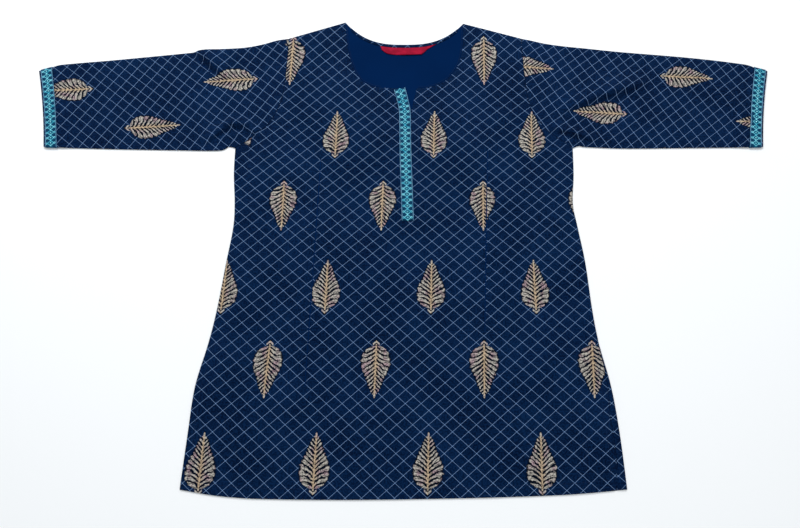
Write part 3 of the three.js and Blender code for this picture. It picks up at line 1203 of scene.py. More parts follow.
def inset_lines(outline: Array, insets: Sequence[float], pitch: float) -> list[Array]:
    """Rows of points just inside a closed edge."""
    closed = even(np.vstack([outline, outline[:1]]), pitch)
    rows = []
    for inset in insets:
        row = offset(closed, inset)
        rows.append(row[distance_to(row, closed) > inset * 0.85])
    return rows


def tube_along(line: Array, radius: float, sides: int = 6, flat: float = 1.0) -> tuple[Array, Faces]:
    """A round cord's points and faces along an open line, with flat ends."""
    ahead = np.gradient(line, axis=0)
    ahead /= np.linalg.norm(ahead, axis=1)[:, None]
    up = np.array([0.0, 0.0, 1.0])
    beside = np.cross(ahead, up)
    beside /= np.maximum(np.linalg.norm(beside, axis=1), 1e-6)[:, None]
    rise = np.cross(beside, ahead)
    turn = np.arange(sides) * 2 * np.pi / sides
    ring = beside[:, None] * np.cos(turn)[None, :, None] + flat * rise[:, None] * np.sin(turn)[None, :, None]
    points = (line[:, None] + radius * ring).reshape(-1, 3)
    faces = [
        (i * sides + k, i * sides + (k + 1) % sides, (i + 1) * sides + (k + 1) % sides, (i + 1) * sides + k)
        for i in range(len(line) - 1)
        for k in range(sides)
    ]
    last = (len(line) - 1) * sides
    faces += [tuple(reversed(range(sides))), tuple(range(last, last + sides))]
    return points, faces


def joined(parts: Sequence[tuple[Array, Faces]]) -> tuple[Array, Faces]:
    """Several lists of points and faces as one."""
    points, faces, start = [], [], 0
    for part_points, part_faces in parts:
        points.append(part_points)
        faces += [tuple(i + start for i in face) for face in part_faces]
        start += len(part_points)
    return np.vstack(points), faces


def face_outwards(mesh: bpy.types.Mesh) -> None:
    """Turns the faces of closed bodies outwards."""
    work = bmesh.new()
    work.from_mesh(mesh)
    bmesh.ops.recalc_face_normals(work, faces=work.faces)
    work.to_mesh(mesh)
    work.free()


# ---- what repeats along a line ----------------------------------------------------------------


class Repeater:
    """A Geometry Nodes tree that sets copies of a unit along a line, square to the line."""

    INPUTS = (
        ("Unit", "NodeSocketObject"),
        ("Pitch", "NodeSocketFloat"),
        ("Across", "NodeSocketVector"),
        ("Tilt", "NodeSocketFloat"),
        ("Seed", "NodeSocketInt"),
        ("Finish", "NodeSocketMaterial"),
    )

    def __init__(self) -> None:
        """Builds the tree."""
        self.tree = bpy.data.node_groups.new("set_along_line", "GeometryNodeTree")
        face = self.tree.interface
        self.ids = {}
        face.new_socket("Geometry", in_out="INPUT", socket_type="NodeSocketGeometry")
        for name, kind in self.INPUTS:
            self.ids[name] = face.new_socket(name, in_out="INPUT", socket_type=kind).identifier
        face.new_socket("Geometry", in_out="OUTPUT", socket_type="NodeSocketGeometry")
        given = self.node("NodeGroupInput").outputs
        curve = self.node("GeometryNodeMeshToCurve", {}, {"Mesh": given["Geometry"]}).outputs[0]
        spacing = {"Curve": curve, "Length": given["Pitch"]}
        dots = self.node("GeometryNodeResampleCurve", {"mode": "LENGTH"}, spacing)
        tangent = self.node("GeometryNodeInputTangent").outputs[0]
        pair = {0: tangent, 1: given["Across"]}
        normal = self.node("ShaderNodeVectorMath", {"operation": "CROSS_PRODUCT"}, pair)
        upright = self.node("FunctionNodeAlignRotationToVector", {"axis": "Z"}, {"Vector": normal.outputs[0]})
        square = self.node(
            "FunctionNodeAlignRotationToVector",
            {"axis": "X", "pivot_axis": "Z"},
            {"Rotation": upright.outputs[0], "Vector": tangent},
        )
        low = self.node("ShaderNodeMath", {"operation": "MULTIPLY"}, {0: given["Tilt"], 1: -1.0})
        chance = self.node(
            "FunctionNodeRandomValue",
            {"data_type": "FLOAT_VECTOR"},
            {"Min": low.outputs[0], "Max": given["Tilt"], "Seed": given["Seed"]},
        )
        turn = self.node("FunctionNodeEulerToRotation", {}, {0: chance.outputs[0]})
        tipped = self.node(
            "FunctionNodeRotateRotation",
            {"rotation_space": "LOCAL"},
            {0: square.outputs[0], 1: turn.outputs[0]},
        )
        unit = self.node("GeometryNodeObjectInfo", {}, {"Object": given["Unit"]})
        copies = self.node(
            "GeometryNodeInstanceOnPoints",
            {},
            {"Points": dots.outputs[0], "Instance": unit.outputs["Geometry"], "Rotation": tipped.outputs[0]},
        )
        real = self.node("GeometryNodeRealizeInstances", {}, {0: copies.outputs[0]})
        finish = {"Geometry": real.outputs[0], "Material": given["Finish"]}
        dressed = self.node("GeometryNodeSetMaterial", {}, finish)
        self.node("NodeGroupOutput", {}, {0: dressed.outputs[0]})

    def node(self, kind: str, settings: dict[str, Any] | None = None, inputs: Any = None) -> bpy.types.Node:
        """Adds a node with its settings and its inputs' values or links."""
        return new_node(self.tree, kind, settings, inputs)

    def place(
        self,
        name: str,
        lines: Sequence[Array],
        unit: bpy.types.Object,
        pitch: float,
        across: Sequence[float],
        finish: bpy.types.Material,
        tilt: float = 0.0,
        seed: int = 1,
    ) -> bpy.types.Object:
        """Sets copies of a unit along lines.

        Args:
            name: The piece's name.
            lines: The lines, in millimetres.
            unit: The object that is copied, which lies along its own X with Z out of the cloth.
            pitch: Distance between copies, in millimetres.
            across: Direction across the lines, so that their direction and this give the way out.
            finish: The copies' material.
            tilt: The most that a copy leans by chance, in radians.
            seed: Seed of the chance.

        Returns:
            The copies as one plain mesh.
        """
        points = np.vstack(lines)
        edges, start = [], 0
        for line in lines:
            edges += [(start + i, start + i + 1) for i in range(len(line) - 1)]
            start += len(line)
        mesh = bpy.data.meshes.new(name)
        mesh.from_pydata((points * MM).tolist(), edges, [])
        piece = bpy.data.objects.new(name, mesh)
        bpy.context.scene.collection.objects.link(piece)
        modifier = piece.modifiers.new("along", "NODES")
        modifier.node_group = self.tree
        values = (unit, pitch * MM, tuple(across), tilt, seed, finish)
        for (key, _), value in zip(self.INPUTS, values):
            modifier[self.ids[key]] = value
        bpy.context.view_layer.update()
        graph = bpy.context.evaluated_depsgraph_get()
        made = bpy.data.meshes.new_from_object(piece.evaluated_get(graph))
        piece.modifiers.remove(modifier)
        piece.data = made
        return piece


@dataclass(frozen=True)
class Stitch:
    """One stitch: a short thread that dips into the cloth at its ends."""

    length: float = 2.3
    radius: float = 0.24

    def unit(self) -> bpy.types.Object:
        """The stitch as an object to copy."""
        share = np.linspace(-1, 1, 6)
        line = np.column_stack([share * self.length / 2, np.zeros(6), 0.22 * (1 - share**2) - 0.12])
        mesh = mesh_from("stitch_unit", *tube_along(line, self.radius, 5))
        face_outwards(mesh)
        return new_object("stitch_unit", mesh, [])


@dataclass(frozen=True)
class FigureStitch:
    """One figure of the ribbon: a lozenge of thread with a loop at each side and a ring within."""

    half_width: float = 7.0
    thread: float = 0.46
    lozenge: Point = (3.7, 4.3)
    knot: float = 0.62
    loop: float = 1.0

    def unit(self) -> bpy.types.Object:
        """The figure as an object to copy, with its length along X."""
        long, wide = self.lozenge
        parts = [self.ring((0.0, 0.0), wide, long, 1.35), self.ring((0.0, 0.0), self.knot, self.knot)]
        for side in (-1, 1):
            parts.append(self.ring((0.0, side * (self.half_width - self.loop)), self.loop, self.loop * 1.5))
            for end in (-1, 1):
                start = np.array([end * (long - 0.6), side * 1.0, 0.1])
                stop = np.array([end * FIGURE_PITCH * 0.54, side * -0.9, 0.1])
                share = np.linspace(0, 1, 4)[:, None]
                parts.append(tube_along(start * (1 - share) + stop * share, self.thread, 5, 0.7))
        mesh = mesh_from("figure_unit", *joined(parts))
        face_outwards(mesh)
        return new_object("figure_unit", mesh, [])

    def ring(
        self, centre: Point, wide: float, long: float, pointed: float = 1.0, steps: int = 16, sides: int = 5
    ) -> tuple[Array, Faces]:
        """A small closed loop of thread, nearer a lozenge the more pointed it is."""
        turn = np.arange(steps) * 2 * np.pi / steps
        out = np.column_stack([np.cos(turn), np.sin(turn), np.zeros(steps)])
        along, across = (np.sign(wave) * np.abs(wave) ** pointed for wave in (np.cos(turn), np.sin(turn)))
        middle = np.column_stack([centre[0] + long * along, centre[1] + wide * across, np.full(steps, 0.12)])
        around = np.arange(sides) * 2 * np.pi / sides
        points = (
            middle[:, None]
            + self.thread * np.cos(around)[None, :, None] * out[:, None]
            + self.thread * 0.7 * np.sin(around)[None, :, None] * np.array([0, 0, 1.0])
        ).reshape(-1, 3)
        faces = []
        for i in range(steps):
            here, there = i * sides, (i + 1) % steps * sides
            for k in range(sides):
                n = (k + 1) % sides
                faces.append((here + k, there + k, there + n, here + n))
        return points, faces


@dataclass(frozen=True)
class Sequin:
    """One sequin: a small shallow cup."""

    radius: float = 0.95
    hole: float = 0.25
    bend: float = 0.6
    height: float = 0.45
    cup: float = 0.25
    wall: float = 0.12

    def unit(self, steps: int = 12) -> bpy.types.Object:
        """The sequin as an object to copy."""
        turn = np.arange(steps) * 2 * np.pi / steps
        profile = (
            (self.hole, self.height),
            (self.bend, self.height + self.cup * 0.4),
            (self.radius, self.height + self.cup),
        )
        rings = [
            np.column_stack([radius * np.cos(turn), radius * np.sin(turn), np.full(steps, z)])
            for radius, z in profile
        ]
        points = np.vstack([*rings, *[ring - [0, 0, self.wall] for ring in reversed(rings)]])
        count = 2 * len(rings)
        faces = []
        for i in range(count):
            here, there = i * steps, (i + 1) % count * steps
            for k in range(steps):
                n = (k + 1) % steps
                faces.append((here + k, here + n, there + n, there + k))
        mesh = mesh_from("sequin_unit", points, faces)
        face_outwards(mesh)
        return new_object("sequin_unit", mesh, [])


# ---- the wardrobe of finishes, and declaring a piece ------------------------------------------


class Wardrobe:
    """Every material, made once."""

    def __init__(self) -> None:
        """Makes the materials."""
        self.print = PrintedCotton().material("printed_cotton")
        self.plain = PlainCotton().material("wrong_side_cotton")
        self.ribbon = Ribbon().material("trim_ribbon")
        self.floss = Floss().material("trim_floss")
        self.cord = Floss(shade(110, 158, 188), shade(52, 104, 144), 0.55).material("trim_selvedge")
        self.thread = SewingThread().material("navy_thread")
        self.sequin = SequinFilm().material("sequin_film")
        self.label = LabelSatin().material("label_satin")
        self.paper = TablePaper().material("pale_ground")


def declare(piece: bpy.types.Object, slot: str, *nodes: str) -> bpy.types.Object:
    """Says what a piece rides on, and hides the solids that it stands for. Its slot is not used."""
    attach(piece, ROOT)
    if nodes:
        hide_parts(*nodes)
    piece.data.calc_loop_triangles()
    LOG.info("%s: %d triangles", piece.name, len(piece.data.loop_triangles))
    return piece


# ---- body panels ------------------------------------------------------------------------------


@dataclass
class Levels:
    """Heights of the layers, in millimetres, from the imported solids."""

    back_top: float = field(default_factory=lambda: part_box("back_panel")[1].z / MM)
    front_low: float = field(default_factory=lambda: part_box("front_panel")[0].z / MM)
    trim_low: float = field(default_factory=lambda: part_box("placket_trim")[0].z / MM)
    cloth: float = 0.8
    packed_wall: float = 1.0

    def front_top(self, xy: Array) -> Array:
        """The upper face of the upper layer at each point."""
        return self.trim_low - GAP + upper_lift(xy)

    def sleeve_half(self) -> float:
        """Half the height of a sleeve pressed flat."""
        return (self.front_low + self.packed_wall) / 2


@dataclass
class BodyPanels:
    """The front and the back, the back's vent hem and its turned neck edge."""

    levels: Levels
    wardrobe: Wardrobe
    pitch: float = 4.2
    back_pitch: float = 9.0
    edge_rows: tuple[float, ...] = (0.8, 2.4, 5.0)
    edge_roll: float = 0.75
    edge_reach: float = 2.2
    dart_depth: float = 1.7
    dart_reach: float = 1.6
    dart_rows: tuple[float, ...] = (-3.4, -1.6, 1.6, 3.4)
    vent_clear: float = 6.0
    binding_width: float = 6.0
    binding_clear: float = 7.0
    ground_clear: float = 0.02
    fold_under: float = 0.2

    def cloth_faces(self) -> list[bpy.types.Material]:
        """The print and the wrong side."""
        return [self.wardrobe.print, self.wardrobe.plain]

    def front(self) -> bpy.types.Object:
        """Builds the front."""
        outline = CUT.outline(CUT.front_neck(), CUT.vented_edge())
        darts = [dart.line() for dart in DARTS]
        beside = [offset(line, shift) for line in darts for shift in self.dart_rows]
        rows = [*inset_lines(outline, self.edge_rows, 4.0), *beside]
        points, faces = triangulate(outline, self.pitch, rows, darts)
        to_edge = distance_to(points, np.vstack([outline, outline[:1]]))
        z = self.levels.front_top(points) - self.edge_roll * np.exp(-((to_edge / self.edge_reach) ** 2))
        for line in darts:
            z -= self.dart_depth * np.exp(-((distance_to(points, line) / self.dart_reach) ** 2))
        skin = Skin(np.column_stack([points, z]), faces, self.dart_map(points, faces))
        lower = skin.points - [0, 0, self.levels.cloth]
        lower[:, 2] = np.maximum(lower[:, 2], self.levels.back_top + 0.08)
        piece = two_faced("front_cloth", skin, lower, self.cloth_faces(), Face.UP)
        leave_plain(piece.data, FRONT_PATCHES)
        return declare(piece, "print_cotton", "front_panel")

    def dart_map(self, points: Array, faces: Sequence[tuple[int, ...]]) -> Array:
        """The cloth map of the front, with what the darts take up left out of sight."""
        index = np.array(faces)
        middles = points[index].mean(axis=1)
        corners = points[index].copy()
        for dart in DARTS:
            beyond = dart.beyond(middles)
            shift = dart.side.value * dart.taken(corners[beyond][:, :, 1])
            corners[beyond, :, 0] += shift
        return BODY_LAY.cells(EASE.flat(corners.reshape(-1, 2)))

    def back(self) -> bpy.types.Object:
        """Builds the back, whose inner side is up."""
        outline = CUT.outline(CUT.back_neck(), side_seam(Side.LEFT))
        points, faces = triangulate(outline, self.back_pitch, inset_lines(outline, self.edge_rows[:2], 5.0))
        to_edge = distance_to(points, np.vstack([outline, outline[:1]]))
        top = self.levels.back_top - 0.05 - 0.3 * np.exp(-((to_edge / self.edge_reach) ** 2))
        places = BACK_LAY.cells(points[np.array(faces)].reshape(-1, 2))
        skin = Skin(np.column_stack([points, top]), faces, places)
        lower = np.column_stack([points, self.ground_clear + 0.25 * np.exp(-((to_edge / 1.2) ** 2))])
        piece = two_faced("back_cloth", skin, lower, self.cloth_faces(), Face.DOWN)
        return declare(piece, "print_cotton", "back_panel")

    def vent_hem(self) -> bpy.types.Object:
        """Builds the back's own turned hem beside the open vent."""
        top = VENT_INSET[-1][0] - self.vent_clear
        outer = side_seam(Side.LEFT)
        inner = CUT.vented_edge(0.4)
        outer, inner = outer[outer[:, 1] < top], inner[inner[:, 1] < top]
        outer = outer - [GAP, 0.0]
        share = np.array([0.0, 0.12, 0.5, 0.88, 1.0])
        low, crown = self.levels.back_top + 0.05, self.levels.front_low + 0.75
        heights = np.array([low + 0.2, crown, crown, crown - 0.1, 0.35])
        skin = self.strip(inner, outer, share, heights, BACK_LAY)
        return self.turned_edge("vent_hem_cloth", "back_vent_hem_left", skin, low)

    def neck_binding(self) -> bpy.types.Object:
        """Builds the turned edge along the back neck."""
        upper = CUT.back_neck(-0.2)
        lower_edge = CUT.back_neck(self.binding_width)
        start, stop = CUT.neck_right[0] + self.binding_clear, CUT.neck_left[0] - self.binding_clear
        keep = (upper[:, 0] > start) & (upper[:, 0] < stop)
        share = np.array([0.0, 0.08, 0.25, 0.6, 0.9, 1.0])
        low, crown = self.levels.back_top + 0.05, self.levels.front_low + 0.9
        heights = np.array([0.45, crown - 0.35, crown, crown - 0.1, crown - 0.15, low + 0.2])
        skin = self.strip(upper[keep], lower_edge[keep], share, heights, BINDING_LAY)
        return self.turned_edge("neck_binding_cloth", "back_neck_binding", skin, low)

    def turned_edge(self, name: str, node: str, skin: Skin, low: float) -> bpy.types.Object:
        lower = skin.points.copy()
        lower[:, 2] = np.minimum(low, skin.points[:, 2] - self.fold_under)
        piece = two_faced(name, skin, lower, self.cloth_faces(), Face.UP)
        return declare(piece, "print_cotton", node)

    def strip(self, start: Array, stop: Array, share: Array, heights: Array, lay: PrintLay) -> Skin:
        """A ruled strip between two edges.

        Args:
            start: One edge.
            stop: The other edge, point for point.
            share: Places across.
            heights: The height at each of those places.
            lay: How the print lies on it.

        Returns:
            The skin, facing up.
        """
        grid = start[:, None] * (1 - share)[None, :, None] + stop[:, None] * share[None, :, None]
        z = np.broadcast_to(heights, grid.shape[:2])
        points = np.dstack([grid, z]).reshape(-1, 3)
        wide = len(share)
        faces = [
            (i * wide + k, i * wide + k + 1, (i + 1) * wide + k + 1, (i + 1) * wide + k)
            for i in range(len(start) - 1)
            for k in range(wide - 1)
        ]
        faces = facing_up(points, faces)
        return Skin(points, faces, lay.cells(points[np.array(faces).ravel()][:, :2]))


# ---- sleeves ----------------------------------------------------------------------------------


@dataclass
class Sleeve:
    """A set-in sleeve, a tube pressed flat, with a ribbon round its cuff."""

    side: Side
    levels: Levels
    wardrobe: Wardrobe
    cuff_edge: float = 3.0
    trim: float = 18.5
    cuff_bow: float = 2.4
    cuff_lift: float = 1.3
    lift_over: float = 34.0
    stations: int = 110
    across: int = 56
    cuff_stations: int = 24
    fold_rows: tuple[float, ...] = (0.0, 0.25, 0.8, 1.8, 3.4)
    ribbon_rows: int = 9
    ribbon_high: float = 1.05
    cord_high: float = 1.1
    cord_inset: float = 0.7

    def __post_init__(self) -> None:
        """Lays out the four edges of the flat sleeve."""
        sign = self.side.value
        seam = armhole(self.side)
        self.seam = offset(seam, -GAP * sign)[::-1]
        top = [(sign * row.at, row.side(self.side)) for row in SLEEVE_TOP]
        under = [(sign * row.at, row.side(self.side)) for row in SLEEVE_UNDER]
        self.top = smooth([tuple(self.seam[0]), *top])
        self.under = smooth([tuple(self.seam[-1]), *under])
        self.zone = self.cuff_edge + self.trim + self.lift_over

    def edge_point(self, line: Array, share: float, from_cuff: float | None) -> Array:
        """A long edge's point at a share of the way to the cuff zone, or at a distance from the cuff."""
        total = lengths(line)[-1]
        if from_cuff is None:
            from_cuff = self.zone + (1 - share) * (total - self.zone)
        return point_at(line, total - from_cuff)

    def row(self, places: Array, share: float, from_cuff: float | None) -> Array:
        """Points across the flat sleeve at one station, 0 at the upper fold and 1 at the under seam."""
        top, under = (self.edge_point(line, share, from_cuff) for line in (self.top, self.under))
        points = top * (1 - places[:, None]) + under * places[:, None]
        count = len(self.seam) - 1
        steps = np.arange(count + 1)
        on_seam = np.column_stack([np.interp(places * count, steps, self.seam[:, k]) for k in (0, 1)])
        chord = self.seam[0] * (1 - places[:, None]) + self.seam[-1] * places[:, None]
        if from_cuff is None:
            return points + (on_seam - chord) * (1 - share)
        bow = self.cuff_bow * self.side.value * (1 - min(from_cuff / self.zone, 1.0)) ** 0.5
        return points - np.column_stack([bow * 4 * places * (1 - places), np.zeros(len(places))])

    def raise_at(self, from_cuff: float | None) -> float:
        """How far the lower layer stands off the ground, over the ribbon's lower run."""
        if from_cuff is None:
            return 0.0
        start = self.cuff_edge + self.trim + 2
        t = min(max((from_cuff - start) / (self.zone - start), 0.0), 1.0)
        return self.cuff_lift * (1 - t * t * (3 - 2 * t))

    def ring(self, share: float, from_cuff: float | None, grow: float) -> Array:
        """A closed ring round the flat sleeve.

        Args:
            share: Share of the way to the cuff zone.
            from_cuff: Distance from the cuff within that zone, or None.
            grow: How far the ring lies outside the cloth's outer face.

        Returns:
            Points: along the upper layer from the top fold, and back along the lower layer.
        """
        ends = self.row(np.array([0.0, 1.0]), share, from_cuff)
        width = np.linalg.norm(ends[1] - ends[0])
        half = self.levels.sleeve_half()
        reach = np.array(self.fold_rows)
        rounding = np.sqrt(np.clip(1 - (1 - reach / self.fold_rows[-1]) ** 2, 0, 1))
        inner = np.linspace(reach[-1] / width, 1 - reach[-1] / width, self.across)
        near = (reach - grow * (1 - reach / reach[-1])) / width
        places = np.concatenate([near[:-1], inner, (1 - near[:-1])[::-1]])
        bulge = np.concatenate([rounding[:-1], np.ones(self.across), rounding[:-1][::-1]])
        flat = self.row(places, share, from_cuff)
        base = self.raise_at(from_cuff)
        lift = upper_lift(flat) * bulge
        upper = np.column_stack([flat, base + half + (half + grow) * bulge + lift])
        lower = np.column_stack([flat, base + half - (half + grow - 0.02) * bulge])
        return np.vstack([upper, lower[::-1][1:-1]])

    def places_along(self) -> list[tuple[float, float | None]]:
        """The stations from the armhole to the cuff."""
        near = [(0.0, None), (0.004, None), (0.012, None)]
        far = [(float(s), None) for s in np.linspace(0.024, 1, self.stations)[:-1]]
        zone = [(1.0, float(d)) for d in np.linspace(self.zone, 0.6, self.cuff_stations)]
        return [*near, *far, *zone, (1.0, 0.0)]

    def cloth(self) -> bpy.types.Object:
        """Builds the sleeve's cloth."""
        outer, inner = [], []
        for share, from_cuff in self.places_along():
            settle = self.seam_roll(share, from_cuff)
            middle = self.raise_at(from_cuff) + self.levels.sleeve_half()
            ring, thinner = (self.ring(share, from_cuff, grow) for grow in (0.0, -self.levels.cloth))
            for layer in (ring, thinner):
                layer[:, 2] = middle + (layer[:, 2] - middle) * settle
            outer.append(ring)
            inner.append(self.tuck(ring, thinner, middle))
        return self.tube(outer, inner)

    def seam_roll(self, share: float, from_cuff: float | None) -> float:
        """How full the tube is: slightly pinched at the armhole seam and at the cuff's turned edge."""
        if from_cuff is not None:
            return 1 - 0.18 * math.exp(-((from_cuff / 0.9) ** 2))
        return 1 - 0.34 * math.exp(-((share / 0.006) ** 2))

    def tuck(self, ring: Array, thinner: Array, middle: float) -> Array:
        """The hollow's ring, kept a wall inside the outer one and half a gap off the middle."""
        wall, half_gap = 0.2, 0.06
        result, outer, hollow = thinner.copy(), ring[:, 2], thinner[:, 2]
        over = np.maximum(np.minimum(hollow, outer - wall), middle + half_gap)
        under = np.minimum(np.maximum(hollow, outer + wall), middle - half_gap)
        result[:, 2] = np.where(outer >= middle, over, under)
        return result

    def wall(self, steps: int, count: int) -> tuple[Faces, list[int]]:
        """The faces of a tube's wall.

        Args:
            steps: How many rings are outside, and as many again follow them inside.
            count: Points in a ring.

        Returns:
            The faces, and for each a 1 where it lines the hollow, or else a 0.
        """
        inside_start = steps * count
        faces: Faces = []
        lining: list[int] = []
        for i in range(steps - 1):
            for k in range(count):
                n = (k + 1) % count
                face = (i * count + k, (i + 1) * count + k, (i + 1) * count + n, i * count + n)
                faces += [face, tuple(inside_start + corner for corner in reversed(face))]
                lining += [0, 1]
        for i, turned in ((0, False), (steps - 1, True)):
            for k in range(count):
                here, there = i * count + k, i * count + (k + 1) % count
                face = (there, inside_start + there, inside_start + here, here)
                faces.append(tuple(reversed(face)) if turned else face)
                lining.append(0)
        if self.side is Side.LEFT:
            faces = [tuple(reversed(face)) for face in faces]
        return faces, lining

    def tube(self, outer: Sequence[Array], inner: Sequence[Array]) -> bpy.types.Object:
        points = np.vstack([*outer, *inner])
        faces, lining = self.wall(len(outer), len(outer[0]))
        name = f"sleeve_{self.side.label}_cloth"
        corners = SLEEVE_LAYS[self.side].cells(points[np.array(faces).ravel()][:, :2])
        mesh = mesh_from(name, points, faces, corners)
        mesh.polygons.foreach_set("material_index", lining)
        leave_plain(mesh, SLEEVE_PATCHES[self.side])
        piece = new_object(name, mesh, [self.wardrobe.print, self.wardrobe.plain])
        return declare(piece, "print_cotton", f"sleeve_{self.side.label}")

    def band(self) -> list[float]:
        """Distances from the cuff across the ribbon."""
        return list(np.linspace(self.cuff_edge + self.trim, self.cuff_edge, self.ribbon_rows))

    def cuff_ribbon(self) -> bpy.types.Object:
        """Builds the ribbon round the cuff."""
        distances = self.band()
        low, high = ([self.ring(1.0, d, grow) for d in distances] for grow in (GAP, self.ribbon_high))
        count, steps = len(low[0]), len(low)
        points = np.vstack([*high, *low])
        faces, _ = self.wall(steps, count)
        runs = self.layers(high[steps // 2])
        beats = np.concatenate([(lengths(run) - figure_start(run)) / FIGURE_PITCH for run in runs])
        along = np.tile(beats, 2 * steps)
        acrosses = np.repeat([d - self.cuff_edge - self.trim / 2 for d in distances], count)
        places = np.column_stack([np.tile(acrosses, 2), along])
        name = f"cuff_ribbon_{self.side.label}"
        mesh = mesh_from(name, points, faces, places[np.array(faces).ravel()])
        piece = new_object(name, mesh, [self.wardrobe.ribbon])
        return declare(piece, "woven_trim", f"cuff_trim_{self.side.label}")

    def layers(self, ring: Array) -> tuple[Array, Array]:
        """A ring's run across the upper layer, and its run back across the lower one."""
        top_count = self.across + 2 * (len(self.fold_rows) - 1)
        return ring[:top_count], ring[top_count:]

    def axis(self) -> Array:
        """Direction along the sleeve at the cuff, towards the hand."""
        ends = [self.row(np.array([0.5]), 1.0, d)[0] for d in (self.trim, 0.0)]
        run = ends[1] - ends[0]
        return np.array([*(run / np.linalg.norm(run)), 0.0])

    def figure_runs(self) -> list[Array]:
        """The lines of figures round the middle of the ribbon, one on each layer."""
        middle_ring = self.ring(1.0, self.cuff_edge + self.trim / 2, self.ribbon_high)
        return [figure_line(run) for run in self.layers(middle_ring)]

    def cord_lines(self) -> list[Array]:
        """The lines of the ribbon's edge cords on the upper layer."""
        near, far = self.cuff_edge + self.cord_inset, self.cuff_edge + self.trim - self.cord_inset
        return [self.layers(self.ring(1.0, d, self.cord_high))[0] for d in (near, far)]


# ---- ribbon dressing, label and stitches ------------------------------------------------------


@dataclass
class RibbonDressing:
    """The thread figures, sequins and edge cords on a ribbon."""

    wardrobe: Wardrobe
    repeater: Repeater
    figure: FigureStitch = FigureStitch()
    sequin: Sequin = Sequin()
    cord_radius: float = 0.5
    sequin_lean: float = 0.5

    def __post_init__(self) -> None:
        """Makes the units that are copied."""
        self.figure_unit = self.figure.unit()
        self.sequin_unit = self.sequin.unit()

    def dress(
        self, name: str, lines: Sequence[Array], across: Sequence[float], edges: Sequence[Array], seed: int
    ) -> list[bpy.types.Object]:
        """Adds figures, sequins and cords to a ribbon.

        Args:
            name: The ribbon's name, which starts each piece's name.
            lines: Lines down the ribbon's middle, on its face.
            across: Direction across the ribbon.
            edges: Lines along its edges, for the cords.
            seed: Seed of the sequins' lean.

        Returns:
            The pieces.
        """
        floss, film = self.wardrobe.floss, self.wardrobe.sequin
        figures = self.repeater.place(f"{name}_figures", lines, self.figure_unit, FIGURE_PITCH, across, floss)
        sequins = self.repeater.place(
            f"{name}_sequins", lines, self.sequin_unit, FIGURE_PITCH, across, film, self.sequin_lean, seed
        )
        tubes = [tube_along(even(line, 3.0), self.cord_radius, 6, 0.7) for line in edges]
        cord_mesh = mesh_from(f"{name}_edge_cords", *joined(tubes))
        cords = new_object(cord_mesh.name, cord_mesh, [self.wardrobe.cord])
        face_outwards(cords.data)
        pieces = [figures, sequins, cords]
        for piece in pieces:
            press_flat(piece.data)
            declare(piece, "woven_trim")
        return pieces

    def clear(self) -> None:
        """Removes the units."""
        for unit in (self.figure_unit, self.sequin_unit):
            bpy.data.objects.remove(unit)


@dataclass
class Placket:
    """The ribbon down the slit's right edge."""

    levels: Levels
    wardrobe: Wardrobe
    width: float = 18.5
    thickness: float = 0.75
    cord_inset: float = 0.7
    route: tuple[Point, ...] = ((-6, 249.5), (-1, 228), (2.5, 205), (3.2, 142), (4.8, 85), (6.6, 22))

    def middle(self) -> Array:
        """The line down its middle."""
        return even(smooth(self.route), 2.5)

    def face(self, xy: Array, above: float = 0.0) -> Array:
        """Points lifted on to the ribbon's face."""
        return np.column_stack([xy, self.levels.front_top(xy) + GAP + self.thickness + above])

    def ribbon(self) -> bpy.types.Object:
        """Builds the ribbon."""
        middle = self.middle()
        shares = np.linspace(-0.5, 0.5, 11)
        rows = [offset(middle, share * self.width) for share in shares]
        flat = np.stack(rows, axis=1)
        wide = len(shares)
        points = self.face(flat.reshape(-1, 2))
        faces = [
            (i * wide + k, (i + 1) * wide + k, (i + 1) * wide + k + 1, i * wide + k + 1)
            for i in range(len(middle) - 1)
            for k in range(wide - 1)
        ]
        faces = facing_up(points, faces)
        across = np.tile(shares * self.width, len(middle))
        places = np.column_stack([across, np.repeat(self.beats(middle), wide)])
        skin = Skin(points, faces, places[np.array(faces).ravel()])
        lower = points - [0, 0, self.thickness]
        piece = two_faced("placket_ribbon", skin, lower, [self.wardrobe.ribbon] * 2, Face.UP)
        return declare(piece, "woven_trim", "placket_trim")

    def beats(self, middle: Array) -> Array:
        """Places down the ribbon, in figures."""
        return (lengths(middle) - figure_start(middle)) / FIGURE_PITCH

    def edge(self, sign: int) -> Array:
        """The line for one edge cord."""
        return self.face(offset(self.middle(), sign * (self.width / 2 - self.cord_inset)), 0.1)


